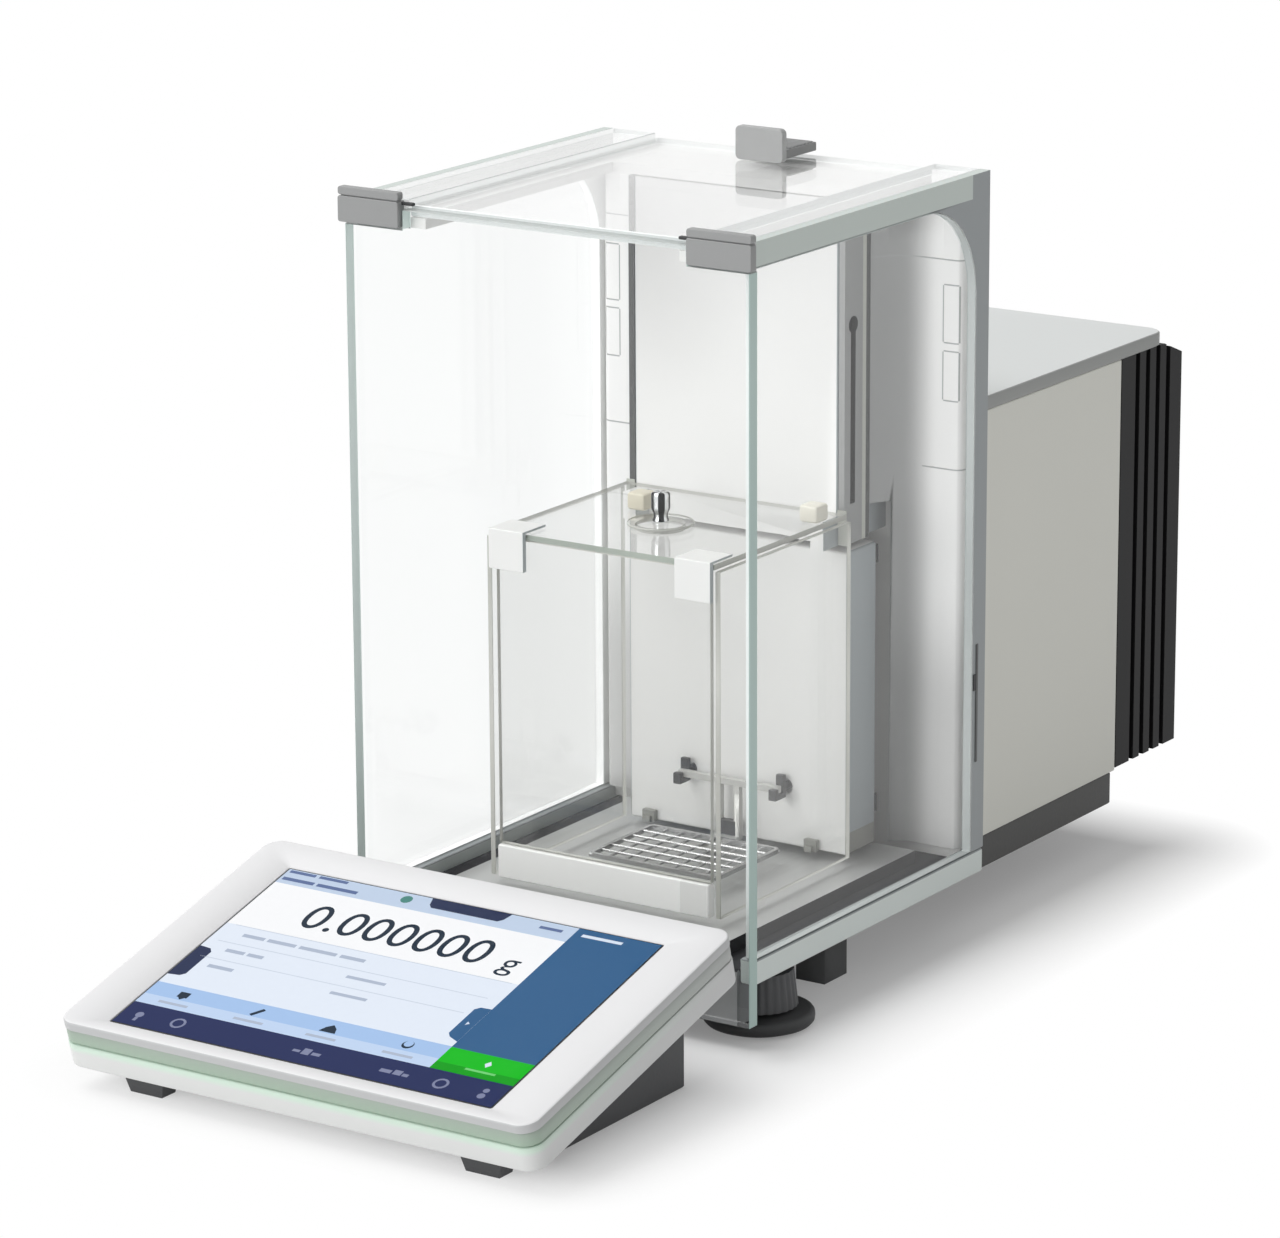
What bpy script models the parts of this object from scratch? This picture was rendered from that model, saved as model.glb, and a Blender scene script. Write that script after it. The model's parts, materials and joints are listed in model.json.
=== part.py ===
import math

import bmesh
import bpy
from mathutils import Matrix, Vector

# Sizes are in millimetres; MM turns them into metres when a mesh is made.
# Frame: +X right, +Y back, +Z up, origin on the table under the middle of the bounding box.
MM = 0.001
GAP = 0.3

# Layout from front to back
FRONT_Y = -86.0
FRONT_GLASS_T = 5.0
FRONT_ROOM = 29.5
INNER_DEPTH = 85.2
TOWER_DEPTH = 33.4
WALL_T = 5.0
HOUSING_DEPTH = 116.9
SINK_DEPTH = 47.2

# Layout from the middle to the side
TOWER_HALF_W = 42.7
ACCESSORY_T = 2.4
ACCESSORY_REVEAL = 1.1
INNER_GLASS_T = 2.0
INNER_CLEAR = 0.4
SLOT_CLEAR = 0.7
WING_W = 26.4
DOOR_ROOM = 1.7
DOOR_GLASS_T = 4.0
DOOR_STRIP_W = 18.5
LOWER_RAIL_W = 6.3
GROOVE_W = 12.2
TOP_DOOR_CLEAR = 0.9
COVER_CLEAR = 5.0
COVER_LIP = 1.0

# Layout from the table to the top
BASE_UNDER_Z = 21.0
BASE_T = 8.5
TRAY_T = 4.7
CHAMBER_H = 239.2
TOP_FRAME_T = 3.7
TOP_GLASS_T = 4.0
DOOR_RISE = 1.7
PLINTH_DROP = 2.0
PLINTH_H = 12.7
SIDE_COVER_H = 160.4
TOP_COVER_T = 5.3

# Front pane and door details
FRONT_LIP = 0.9
FRONT_DROP = 1.0
FRONT_SILL = 2.0
NOTCH_H = 7.0
NOTCH_CLEAR = 0.5
DOOR_BAR_H = 8.6
DOOR_STRIP_T = 3.7
DOOR_CLEAR = 0.4
STILE_W = 8.8
GUSSET_R = 34.0
HANDLE_H = 12.4
HANDLE_NOSE = 1.8
HANDLE_T = 3.4
HANDLE_OVER = 2.6
HANDLE_STEM_IN = 2.0
TOP_HANDLE_HALF_W = 10.0
TOP_HANDLE_SET = 23.0
TOP_HANDLE_T = 3.0
TOP_HANDLE_H = 12.6
TOP_TONGUE_L = 21.0
TOP_TONGUE_Z = 1.2
TOP_TONGUE_T = 3.2
TOP_RAIL_W = 6.2

# Base, rails, tray and feet
APRON_DROP = 12.0
APRON_T = 9.0
LOWER_RAIL_H = 9.0
LOWER_RAIL_DROP = 0.5
TRAY_BACK_OVER = 21.0
TRAY_BEVEL = 2.0
TRAY_BEVEL_DROP = 1.6
TRAY_RIM = 6.0
TRAY_DEPTH = 1.2
FOOT_INSET = 10.4
FOOT_Y_SET = 28.7
FOOT_WHEEL_R = 19.7
FOOT_WHEEL_H = 5.4
FOOT_SOLE_R = 15.0
FOOT_SOLE_H = 0.8
SPINDLE_R = 3.2
COLUMN_LOW_R = 11.0
COLUMN_TOP_R = 7.5
COLUMN_CLEAR = 1.2
PAD_X = 56.5
PAD_Y_SET = 83.7
PAD_HALF_X = 6.0
PAD_HALF_Y = 7.5
REAR_FOOT_R = 14.0
REAR_FOOT_SET = 22.0

# Tower, wings and the box below the tower
TOWER_WALL = 3.0
TOWER_CHAMFER = 0.5
ACCESSORY_SET = 0.3
ACCESSORY_W = 17.0
EAR_W = 6.0
EAR_L = 9.0
EAR_H = 10.0
WING_T = 4.4
WING_COVE_R = 15.5
WING_EDGE_R = 3.0
BOX_SET = 1.0
BOX_DEPTH = 20.0
BOX_H = 113.2
BOX_WALL = 2.5
BOX_TO_TOWER = 2.4
KEY_SET = 6.0
KEY_Z_DROP = 43.4
KEY_R = 3.1
KEY_SLOT_HALF = 1.6
KEY_FOOT = 14.6
ARM_HOLE_CLEAR = 1.7
WALL_HOLE_R = 7.0

# Inner shield
INNER_TOP_RISE = 12.4
SILL_H = 12.2
SILL_LIP = 1.5
FRONT_PANE_INSET = 1.5
CORNER_W = 14.8
CORNER_DROP = 11.5
CORNER_REACH = 12.0
CORNER_FRONT_T = 2.2
CORNER_TOP_T = 0.9
CLIP_HALF = 3.8
CLIP_L = 8.0
CLIP_H = 6.2
CLIP_RIGHT_SET = 11.4
CLIP_LEFT_SET = 28.3
CLIP_LEFT_X = -18.6
LID_SET = 37.2
LID_R = 12.0
LID_T = 1.0
LID_HOLE_R = 9.0
LID_PLUG_CLEAR = 0.5
KNOB_R = 3.4
KNOB_H = 10.4

# Grid pan, hanger and load arms
PAN_LIFT = 2.5
PAN_T = 1.6
PAN_HALF_W = 27.5
PAN_LEN = 41.5
PAN_SET = 14.5
PAN_BAR = 1.6
PAN_CELLS_X = 8
PAN_CELLS_Y = 6
HANGER_SET = 8.0
HANGER_T = 2.4
HANGER_H = 18.4
HANGER_BAR = 2.4
HANGER_POST_X = 4.0
HANGER_FOOT_L = 9.0
HANGER_FOOT_T = 1.3
ARM_X = 20.0
ARM_R = 1.6
HOOK_HALF_W = 1.5
HOOK_T = 2.0
HOOK_RISE = 5.0
YOKE_T = 4.0
YOKE_HALF_H = 3.0
YOKE_SET = 8.0

# Housing, heat sink and sockets
SIDE_COVER_T = 2.0
COVER_OVER = 33.4
COVER_R = 8.0
PLINTH_INSET = 1.0
PLINTH_SHORT = 1.2
SINK_LIFT = 1.3
GROOVE_FIRST = 12.4
GROOVE_PITCH = 8.0
GROOVE = 3.2
GROOVE_DEPTH = 5.0
FIN_PITCH = 11.0
FIN_GAP = 6.0
FIN_DEPTH = 22.0
FIN_SIDE = 12.0
SINK_DROP = 5.5
SOCKET_DEPTH = 12.0
INLET_X = -38.0
INLET_R = 5.4
INLET_BORE_R = 3.2
INLET_PIN_R = 1.0
DATA_X = 4.0
DATA_PITCH = 20.0
DATA_HALF_W = 7.5
DATA_HALF_H = 4.6
DATA_WALL = 1.0

# Weighing cell and board
CELL_HALF_W = 30.0
CELL_T = 8.0
CELL_FRONT = 6.7
CELL_BACK = 6.5
PIVOT_SET = 32.0
PIVOT_R = 2.0
CHEEK_T = 5.0
CHEEK_HALF_Y = 5.0
CHEEK_RISE = 9.0
LEVER_HALF_W = 6.0
LEVER_H = 6.0
LEVER_NOSE = 11.0
LEVER_TAIL = 11.0
LEVER_WAIST = 2.5
COIL_R = 11.0
COIL_WALL = 2.0
COIL_CLEAR = 2.0
POT_R = 18.0
POT_FLOOR = 2.7
POT_CLEAR = 2.0
POT_BACK = 4.0
POT_DROP = 2.5
WEIGHT_SET = 10.0
WEIGHT_R = 9.0
WEIGHT_H = 14.0
LIFTER_RISE = 9.0
LIFTER_T = 3.7
LIFTER_HALF_Y = 7.0
LIFTER_LEFT = 14.0
GUIDE_X = 21.0
GUIDE_HALF = 3.5
GUIDE_OVER = 6.0
LIFTER_RIM = 5.0
BOARD_T = 1.6
BOARD_INSET = 12.0
BOARD_LIFT = 13.0
BOARD_H = 130.0

# Terminal, laid out flat in (x, u, n) and then tilted about its upper front edge
TERM_FRONT_Y = -238.0
TERM_FRONT_Z = 25.3
TERM_TILT = 14.87
TERM_HALF_W = 97.0
TERM_LEN = 125.5
TERM_R = 11.0
TERM_T = 18.0
TERM_UPPER = 8.8
TERM_WALL = 2.6
TERM_PLATE = 3.0
TERM_SOLE_INSET = 1.2
TERM_SOLE_H = 2.5
LIGHT_H = 5.0
LIGHT_DEPTH = 3.4
LIGHT_WRAP = 15.0
SCREEN_HALF_W = 78.0
SCREEN_FRONT = 6.0
SCREEN_LEN = 104.0
SCREEN_T = 1.7
SCREEN_SINK = 0.2
LCD_T = 4.4
LCD_INSET = 1.0
STAND_HALF_W = 79.0
STAND_FRONT = 42.0
STAND_BACK = 3.8
STAND_RAKE = 8.0
STAND_WALL = 3.0
STAND_FOOT_IN_X = 60.0
STAND_FOOT_OUT_X = 78.5
STAND_FOOT_Y = 11.0
STAND_FOOT_L = 10.0
STAND_ARM_T = 3.5
TIE_HALF_W = 25.0
TIE_T = 4.0
TIE_REACH = 7.0
TIE_CLEAR = 0.5

# Places that follow from the sizes above
front = FRONT_Y + FRONT_GLASS_T + GAP
inner_front = front + FRONT_ROOM
tower_y = inner_front + INNER_DEPTH
wall_y0 = tower_y + TOWER_DEPTH + GAP
wall_y1 = wall_y0 + WALL_T
shield_back = wall_y1 + GAP
housing_y0 = shield_back + GAP
housing_y1 = housing_y0 + HOUSING_DEPTH
sink_y0 = housing_y1 + GAP
sink_y1 = sink_y0 + SINK_DEPTH

box_half = TOWER_HALF_W + GAP + ACCESSORY_T + ACCESSORY_REVEAL
inner_door_in = box_half + INNER_CLEAR
inner_door_out = inner_door_in + INNER_GLASS_T
slot_out = inner_door_out + SLOT_CLEAR
wing_in = slot_out + GAP
wing_out = wing_in + WING_W
pane_in = wing_out + DOOR_ROOM
pane_out = pane_in + DOOR_GLASS_T
strip_in = pane_in - GAP - DOOR_STRIP_W
rail_in = pane_out - LOWER_RAIL_W
base_side = rail_in - GAP
tray_half = rail_in - GROOVE_W
handle_in = strip_in - GAP
handle_out = pane_out + HANDLE_OVER
notch_x = handle_in - NOTCH_CLEAR
top_half = strip_in - TOP_DOOR_CLEAR
cover_half = pane_in - COVER_CLEAR
side_out = cover_half - COVER_LIP
side_in = side_out - SIDE_COVER_T

base_top = BASE_UNDER_Z + BASE_T
apron_z = BASE_UNDER_Z - APRON_DROP
tray_z0 = base_top + GAP
tray_top = tray_z0 + TRAY_T
wall_top = tray_top + CHAMBER_H
frame_z0 = wall_top + GAP
frame_z1 = frame_z0 + TOP_FRAME_T
top_z0 = frame_z1 + GAP
top_z1 = top_z0 + TOP_GLASS_T
door_top = top_z1 + DOOR_RISE
front_top = top_z1 - FRONT_DROP
notch_z = front_top - NOTCH_H
handle_z0 = notch_z + 2 * GAP
rail_z1 = tray_top - LOWER_RAIL_DROP
door_bottom = rail_z1 + DOOR_CLEAR
box_y0 = tower_y + BOX_SET
box_y1 = box_y0 + BOX_DEPTH
box_z0 = tray_top + GAP
box_z1 = box_z0 + BOX_H
tower_z0 = box_z1 + BOX_TO_TOWER
tower_z1 = wall_top - GAP
inner_z0 = box_z1 + INNER_TOP_RISE
inner_z1 = inner_z0 + INNER_GLASS_T
sill_top = tray_top + GAP + SILL_H
pan_z0 = tray_top + PAN_LIFT
pan_z1 = pan_z0 + PAN_T
pan_y1 = box_y0 - PAN_SET
arm_z = pan_z1 + HANGER_H
plinth_z0 = BASE_UNDER_Z - PLINTH_DROP
plinth_z1 = plinth_z0 + PLINTH_H
side_z0 = plinth_z1 + GAP
side_z1 = side_z0 + SIDE_COVER_H
cover_z0 = side_z1 + GAP
SIDES = ((1, "right"), (-1, "left"))

for old in list(bpy.data.objects):
    bpy.data.objects.remove(old, do_unlink=True)

scene = bpy.context.scene
parts = bpy.data.collections.new("analytical_balance")
scene.collection.children.link(parts)
cutters = bpy.data.collections.new("cutters")
cutters.hide_render = True
scene.collection.children.link(cutters)

# Base colour, roughness and metallic value of each material
LOOKS = {
    "white": (0.86, 0.86, 0.85, 0.5, 0.0), "pale_rail": (0.80, 0.82, 0.82, 0.45, 0.0),
    "base_grey": (0.10, 0.10, 0.11, 0.6, 0.0), "tray_metal": (0.45, 0.45, 0.46, 0.35, 0.8),
    "rubber": (0.03, 0.03, 0.03, 0.8, 0.0), "black_plastic": (0.04, 0.04, 0.045, 0.5, 0.0),
    "cover_paint": (0.48, 0.48, 0.44, 0.45, 0.0), "top_paint": (0.68, 0.71, 0.70, 0.4, 0.0),
    "sink_black": (0.02, 0.02, 0.022, 0.5, 0.0), "aluminium": (0.55, 0.55, 0.56, 0.3, 1.0),
    "steel": (0.55, 0.55, 0.55, 0.25, 1.0), "dark_steel": (0.16, 0.15, 0.15, 0.35, 1.0),
    "chrome": (0.80, 0.80, 0.80, 0.08, 1.0), "glass": (0.80, 0.92, 0.88, 0.05, 0.0),
    "handle_grey": (0.33, 0.33, 0.34, 0.45, 0.0), "clip_beige": (0.72, 0.66, 0.50, 0.5, 0.0),
    "copper": (0.55, 0.27, 0.14, 0.35, 1.0), "board_green": (0.05, 0.22, 0.10, 0.5, 0.0),
    "term_white": (0.88, 0.88, 0.88, 0.35, 0.0), "screen": (0.03, 0.04, 0.06, 0.1, 0.0),
    "light_green": (0.45, 0.80, 0.50, 0.4, 0.0), "stand_grey": (0.07, 0.07, 0.075, 0.6, 0.0),
    "lcd": (0.30, 0.33, 0.36, 0.3, 0.0),
}
materials = {}
for slot, (red, green, blue, rough, metal) in LOOKS.items():
    material = bpy.data.materials.new(slot)
    material.use_nodes = True
    shader = material.node_tree.nodes["Principled BSDF"]
    shader.inputs["Base Color"].default_value = (red, green, blue, 1.0)
    shader.inputs["Roughness"].default_value = rough
    shader.inputs["Metallic"].default_value = metal
    materials[slot] = material


def prism(bm, outline, axis, low, high):
    """Extrude a flat outline along an axis: x takes (y, z), y takes (x, z), z takes (x, y)."""
    place = {"x": lambda a, b: (low, a, b), "y": lambda a, b: (a, low, b), "z": lambda a, b: (a, b, low)}[axis]
    step = {"x": (high - low, 0, 0), "y": (0, high - low, 0), "z": (0, 0, high - low)}[axis]
    face = bm.faces.new([bm.verts.new(Vector(place(a, b)) * MM) for a, b in outline])
    grown = bmesh.ops.extrude_face_region(bm, geom=[face])
    moved = [item for item in grown["geom"] if isinstance(item, bmesh.types.BMVert)]
    bmesh.ops.translate(bm, verts=moved, vec=Vector(step) * MM)


def box(bm, x0, x1, y0, y1, z0, z1):
    middle = Vector((x0 + x1, y0 + y1, z0 + z1)) * (MM / 2)
    size = Vector((x1 - x0, y1 - y0, z1 - z0)) * MM
    bmesh.ops.create_cube(bm, size=1.0, matrix=Matrix.Translation(middle) @ Matrix.Diagonal(size).to_4x4())


def cylinder(bm, radius, centre, low, high, axis="z", steps=20, far_radius=None):
    """A cylinder or cone between two levels; centre holds the other two coordinates."""
    middle = (low + high) / 2
    turn = Matrix.Identity(4)
    point = (centre[0], centre[1], middle)
    if axis == "y":
        turn = Matrix.Rotation(-math.pi / 2, 4, "X")
        point = (centre[0], middle, centre[1])
    if axis == "x":
        turn = Matrix.Rotation(math.pi / 2, 4, "Y")
        point = (middle, centre[0], centre[1])
    bmesh.ops.create_cone(bm, cap_ends=True, segments=steps, radius1=radius * MM,
                          radius2=(far_radius or radius) * MM, depth=(high - low) * MM,
                          matrix=Matrix.Translation(Vector(point) * MM) @ turn)


def rounded(x0, x1, y0, y1, radius, steps=5):
    """Outline of a rectangle with rounded corners."""
    outline = []
    corners = ((x1 - radius, y1 - radius, 0), (x0 + radius, y1 - radius, 90),
               (x0 + radius, y0 + radius, 180), (x1 - radius, y0 + radius, 270))
    for cx, cy, start in corners:
        for k in range(steps + 1):
            angle = math.radians(start + 90.0 * k / steps)
            outline.append((cx + radius * math.cos(angle), cy + radius * math.sin(angle)))
    return outline


def enlist(obj, slot, smooth=False):
    """Put an object among the parts, or among the cutters when it has no material."""
    if slot is None:
        cutters.objects.link(obj)
        obj.hide_render = True
        obj.display_type = "WIRE"
        return obj
    parts.objects.link(obj)
    obj.data.materials.append(materials[slot])
    if smooth:
        obj.data.shade_smooth()
        obj.data.set_sharp_from_angle(angle=math.radians(35))
    return obj


def finish(name, bm, slot, bevel=0.0, segments=1, smooth=False, origin=(0.0, 0.0, 0.0)):
    bmesh.ops.recalc_face_normals(bm, faces=bm.faces)
    bmesh.ops.translate(bm, verts=bm.verts, vec=-Vector(origin) * MM)
    mesh = bpy.data.meshes.new(name)
    bm.to_mesh(mesh)
    bm.free()
    obj = bpy.data.objects.new(name, mesh)
    obj.location = Vector(origin) * MM
    enlist(obj, slot, smooth)
    if bevel:
        mod = obj.modifiers.new("edge", "BEVEL")
        mod.width = bevel * MM
        mod.segments = segments
        mod.limit_method = "ANGLE"
        mod.angle_limit = math.radians(40)
    return obj


def lathe(name, slot, profile, origin, steps=24, along_y=False, ring=False):
    """Turn (radius, height) pairs, listed from the top down the outer side, about an axis."""
    bm = bmesh.new()
    points = [bm.verts.new(Vector((radius, 0.0, height)) * MM) for radius, height in profile]
    for first, second in zip(points, points[1:]):
        bm.edges.new((first, second))
    if ring:
        bm.edges.new((points[-1], points[0]))
    mesh = bpy.data.meshes.new(name)
    bm.to_mesh(mesh)
    bm.free()
    obj = bpy.data.objects.new(name, mesh)
    obj.location = Vector(origin) * MM
    if along_y:
        obj.rotation_euler = (-math.pi / 2, 0.0, 0.0)
    mod = obj.modifiers.new("turn", "SCREW")
    mod.steps = steps
    mod.render_steps = steps
    mod.use_merge_vertices = True
    mod.merge_threshold = 0.00001
    mod.use_smooth_shade = True
    return enlist(obj, slot)


def cut(obj, cutter, operation="DIFFERENCE"):
    mod = obj.modifiers.new("cut", "BOOLEAN")
    mod.solver = "EXACT"
    mod.operation = operation
    mod.object = cutter
    return obj


def simple_box(name, slot, x0, x1, y0, y1, z0, z1, bevel=0.0):
    bm = bmesh.new()
    box(bm, x0, x1, y0, y1, z0, z1)
    return finish(name, bm, slot, bevel)


def other_side(outline):
    return [(-a, b) for a, b in outline]


def span(side, near, far):
    """The two X limits of something on the right (1) or left (-1), in rising order."""
    return sorted((side * near, side * far))


def moves(name, point, children):
    """An empty on a joint that carries the pieces which move together."""
    empty = bpy.data.objects.new(name, None)
    empty.location = Vector(point) * MM
    parts.objects.link(empty)
    for child in children:
        child.parent = empty
        child.matrix_parent_inverse = Matrix.Translation(-Vector(point) * MM)


# Base casting: floor plate, front apron, columns for the screw feet and two pads
bm = bmesh.new()
prism(bm, [(front, apron_z), (front, base_top), (wall_y1, base_top), (wall_y1, BASE_UNDER_Z),
           (front + APRON_T, BASE_UNDER_Z), (front + APRON_T, apron_z)], "x", -base_side, base_side)
base = finish("base_casting", bm, "base_grey", 0.8)
foot_x = base_side - FOOT_INSET
foot_y = front + FOOT_Y_SET
wheel_top = FOOT_SOLE_H + FOOT_WHEEL_H
column_z = wheel_top + COLUMN_CLEAR
for side, label in SIDES:
    bm = bmesh.new()
    cylinder(bm, COLUMN_LOW_R, (side * foot_x, foot_y), column_z, BASE_UNDER_Z + BASE_T / 2, steps=24,
             far_radius=COLUMN_TOP_R)
    cut(base, finish("column_" + label, bm, None), "UNION")
    bm = bmesh.new()
    pad_y = front + PAD_Y_SET
    box(bm, *span(side, PAD_X - PAD_HALF_X, PAD_X + PAD_HALF_X), pad_y - PAD_HALF_Y, pad_y + PAD_HALF_Y,
        0.0, BASE_UNDER_Z + BASE_T / 2)
    cut(base, finish("pad_" + label, bm, None), "UNION")
bm = bmesh.new()
for side, label in SIDES:
    cylinder(bm, SPINDLE_R + GAP, (side * foot_x, foot_y), 0.0, BASE_UNDER_Z + BASE_T / 4)
cut(base, finish("spindle_bores", bm, None))

# Levelling feet: wheel, sole and spindle, turning in the columns
spindle_top = BASE_UNDER_Z - GAP
for side, label in SIDES:
    foot = lathe("foot_screw_" + label, "rubber",
                 [(0.0, spindle_top), (SPINDLE_R, spindle_top), (SPINDLE_R, wheel_top), (FOOT_WHEEL_R - 1.4, wheel_top),
                  (FOOT_WHEEL_R, wheel_top - 1.6), (FOOT_WHEEL_R, FOOT_SOLE_H + 1.4),
                  (FOOT_WHEEL_R - 1.2, FOOT_SOLE_H), (FOOT_SOLE_R, FOOT_SOLE_H), (FOOT_SOLE_R, 0.0), (0.0, 0.0)],
                 (side * foot_x, foot_y, 0.0), 32)
    moves("foot_turn_" + label, (side * foot_x, foot_y, 0.0), [foot])
rear_foot_y = housing_y1 - REAR_FOOT_SET
lathe("rear_foot", "rubber", [(0.0, plinth_z0 - GAP), (REAR_FOOT_R, plinth_z0 - GAP), (REAR_FOOT_R, 1.0),
                              (REAR_FOOT_R - 1.0, 0.0), (0.0, 0.0)], (0.0, rear_foot_y, 0.0))

# Side rails under the door panes, and the floor tray with its dished middle
for side, label in SIDES:
    simple_box("lower_rail_" + label, "pale_rail", *span(side, rail_in, pane_out), front, shield_back,
               rail_z1 - LOWER_RAIL_H, rail_z1, 0.6)
bm = bmesh.new()
box(bm, -tray_half, tray_half, front + 2 * GAP, tower_y + TRAY_BACK_OVER, tray_z0, tray_top)
dish = max(bm.faces, key=lambda face: face.calc_center_median().z)
edge = list(dish.verts)
bmesh.ops.inset_region(bm, faces=[dish], thickness=TRAY_BEVEL * MM)
for vert in edge:
    vert.co.z -= TRAY_BEVEL_DROP * MM
bmesh.ops.inset_region(bm, faces=[dish], thickness=TRAY_RIM * MM)
for vert in dish.verts:
    vert.co.z -= TRAY_DEPTH * MM
finish("floor_tray", bm, "tray_metal")

# Wall behind the chamber, with slots for the inner doors and a hole for the load arm
wall = simple_box("rear_wall", "white", -base_side, base_side, wall_y0, wall_y1, base_top + GAP, wall_top)
bm = bmesh.new()
for side, label in SIDES:
    box(bm, *span(side, box_half, slot_out), wall_y0 - WALL_T, wall_y1 + WALL_T, tray_top, inner_z1)
cylinder(bm, WALL_HOLE_R, (0.0, arm_z), wall_y0 - WALL_T, wall_y1 + WALL_T, "y")
cut(wall, finish("wall_cutter", bm, None))

# Corner covers beside the tower: a cove that sweeps back from the accessory rail, a flat front with a rounded outer
# edge, and a notch where the inner door slides through
tower_back = wall_y0 - GAP
rail_y = (tower_y + ACCESSORY_SET, tower_y + ACCESSORY_SET + ACCESSORY_W)
rail_out = TOWER_HALF_W + GAP + ACCESSORY_T
wing_root = TOWER_HALF_W + GAP
wing_front = tower_back - WING_T
cove_y = wing_front - WING_COVE_R
cove_start = math.asin((rail_y[1] + GAP - cove_y) / WING_COVE_R)
cove_x = rail_out + WING_COVE_R * math.cos(cove_start)
wing = [(wing_root, tower_back), (wing_root, rail_y[1] + GAP)]
for k in range(9):
    angle = math.pi - cove_start - (math.pi / 2 - cove_start) * k / 8.0
    wing.append((cove_x + WING_COVE_R * math.cos(angle), cove_y + WING_COVE_R * math.sin(angle)))
for k in range(4):
    angle = math.radians(-90.0 + 30.0 * k)
    wing.append((wing_out - WING_EDGE_R + WING_EDGE_R * math.cos(angle), wing_front + WING_EDGE_R + WING_EDGE_R * math.sin(angle)))
wing.append((wing_out, tower_back))
for side, label in SIDES:
    bm = bmesh.new()
    prism(bm, wing if side > 0 else other_side(wing), "z", tray_top + GAP, tower_z1)
    cover = finish("wing_cover_" + label, bm, "white", smooth=True)
    bm = bmesh.new()
    box(bm, *span(side, wing_root - ACCESSORY_T, wing_in), tower_y, wall_y1, tray_top, inner_z1)
    cut(cover, finish("wing_cutter_" + label, bm, None))

# Tower cover, a channel open to the back, with two ears that hold the inner top pane
bm = bmesh.new()
t_in = TOWER_HALF_W - TOWER_WALL
half_tower = [(TOWER_HALF_W - TOWER_CHAMFER, tower_y), (TOWER_HALF_W, tower_y + TOWER_CHAMFER),
              (TOWER_HALF_W, tower_back), (t_in, tower_back), (t_in, tower_y + TOWER_WALL)]
prism(bm, half_tower + other_side(half_tower)[::-1], "z", tower_z0, tower_z1)
tower = finish("tower_cover", bm, "white")
for side, label in SIDES:
    bm = bmesh.new()
    box(bm, *span(side, t_in - EAR_W + TOWER_WALL, t_in + TOWER_WALL - 0.5), tower_y - EAR_L, tower_y + TOWER_WALL / 2,
        inner_z0 - GAP - EAR_H, inner_z0 - GAP)
    cut(tower, finish("ear_" + label, bm, None), "UNION")

# Accessory rails on the tower's sides, each with a keyhole slot
key_y = tower_y + KEY_SET
key_z = tower_z1 - KEY_Z_DROP
mouth = math.degrees(math.asin(KEY_SLOT_HALF / KEY_R))
hole = []
for k in range(13):
    angle = math.radians(-90.0 + mouth + (360.0 - 2.0 * mouth) * k / 12.0)
    hole.append((key_y + KEY_R * math.cos(angle), key_z + KEY_R * math.sin(angle)))
slot_z = tower_z0 + KEY_FOOT
hole += [(key_y - KEY_SLOT_HALF, slot_z), (key_y + KEY_SLOT_HALF, slot_z)]
for side, label in SIDES:
    low, high = span(side, TOWER_HALF_W + GAP, rail_out)
    rail = simple_box("accessory_rail_" + label, "aluminium", low, high, *rail_y, tower_z0, tower_z1)
    bm = bmesh.new()
    prism(bm, hole, "x", low - ACCESSORY_T, high + ACCESSORY_T)
    cut(rail, finish("key_cutter_" + label, bm, None))

# Box below the tower that closes the inner shield and hides the load arms
rear_box = simple_box("rear_box", "white", -box_half, box_half, box_y0, box_y1, box_z0, box_z1, 0.8)
inside = box_half - BOX_WALL
bm = bmesh.new()
box(bm, -inside, inside, box_y0 + BOX_WALL, box_y1 + BOX_WALL, box_z0 + BOX_WALL, box_z1 - BOX_WALL)
cut(rear_box, finish("box_cutter", bm, None))
bm = bmesh.new()
for side, label in SIDES:
    cylinder(bm, ARM_R + ARM_HOLE_CLEAR, (side * ARM_X, arm_z), box_y0 - BOX_WALL, box_y0 + 2 * BOX_WALL, "y", 16)
cut(rear_box, finish("arm_cutter", bm, None))

# Inner shield: front pane on its sill, top pane with a lid hole, corner brackets, clips, side doors
front_half = box_half - FRONT_PANE_INSET
simple_box("inner_front_glass", "glass", -front_half, front_half, inner_front, inner_front + INNER_GLASS_T,
           sill_top + GAP, inner_z0 - GAP)
simple_box("inner_sill", "white", -front_half, front_half, inner_front - SILL_LIP, inner_front + INNER_GLASS_T + 0.5,
           tray_top + GAP, sill_top, 0.6)
lid_y = inner_front + LID_SET
pane = simple_box("inner_top_glass", "glass", -box_half, box_half, inner_front, tower_y - GAP, inner_z0, inner_z1)
bm = bmesh.new()
cylinder(bm, LID_HOLE_R, (0.0, lid_y), inner_z0 - INNER_GLASS_T, inner_z1 + INNER_GLASS_T, steps=28)
cut(pane, finish("lid_cutter", bm, None))
near = inner_front - GAP
over = inner_z1 + GAP
bracket = [(near - CORNER_FRONT_T, inner_z0 - CORNER_DROP), (near, inner_z0 - CORNER_DROP), (near, over),
           (inner_front + CORNER_REACH, over), (inner_front + CORNER_REACH, over + CORNER_TOP_T),
           (near - CORNER_FRONT_T, over + CORNER_TOP_T)]
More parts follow.
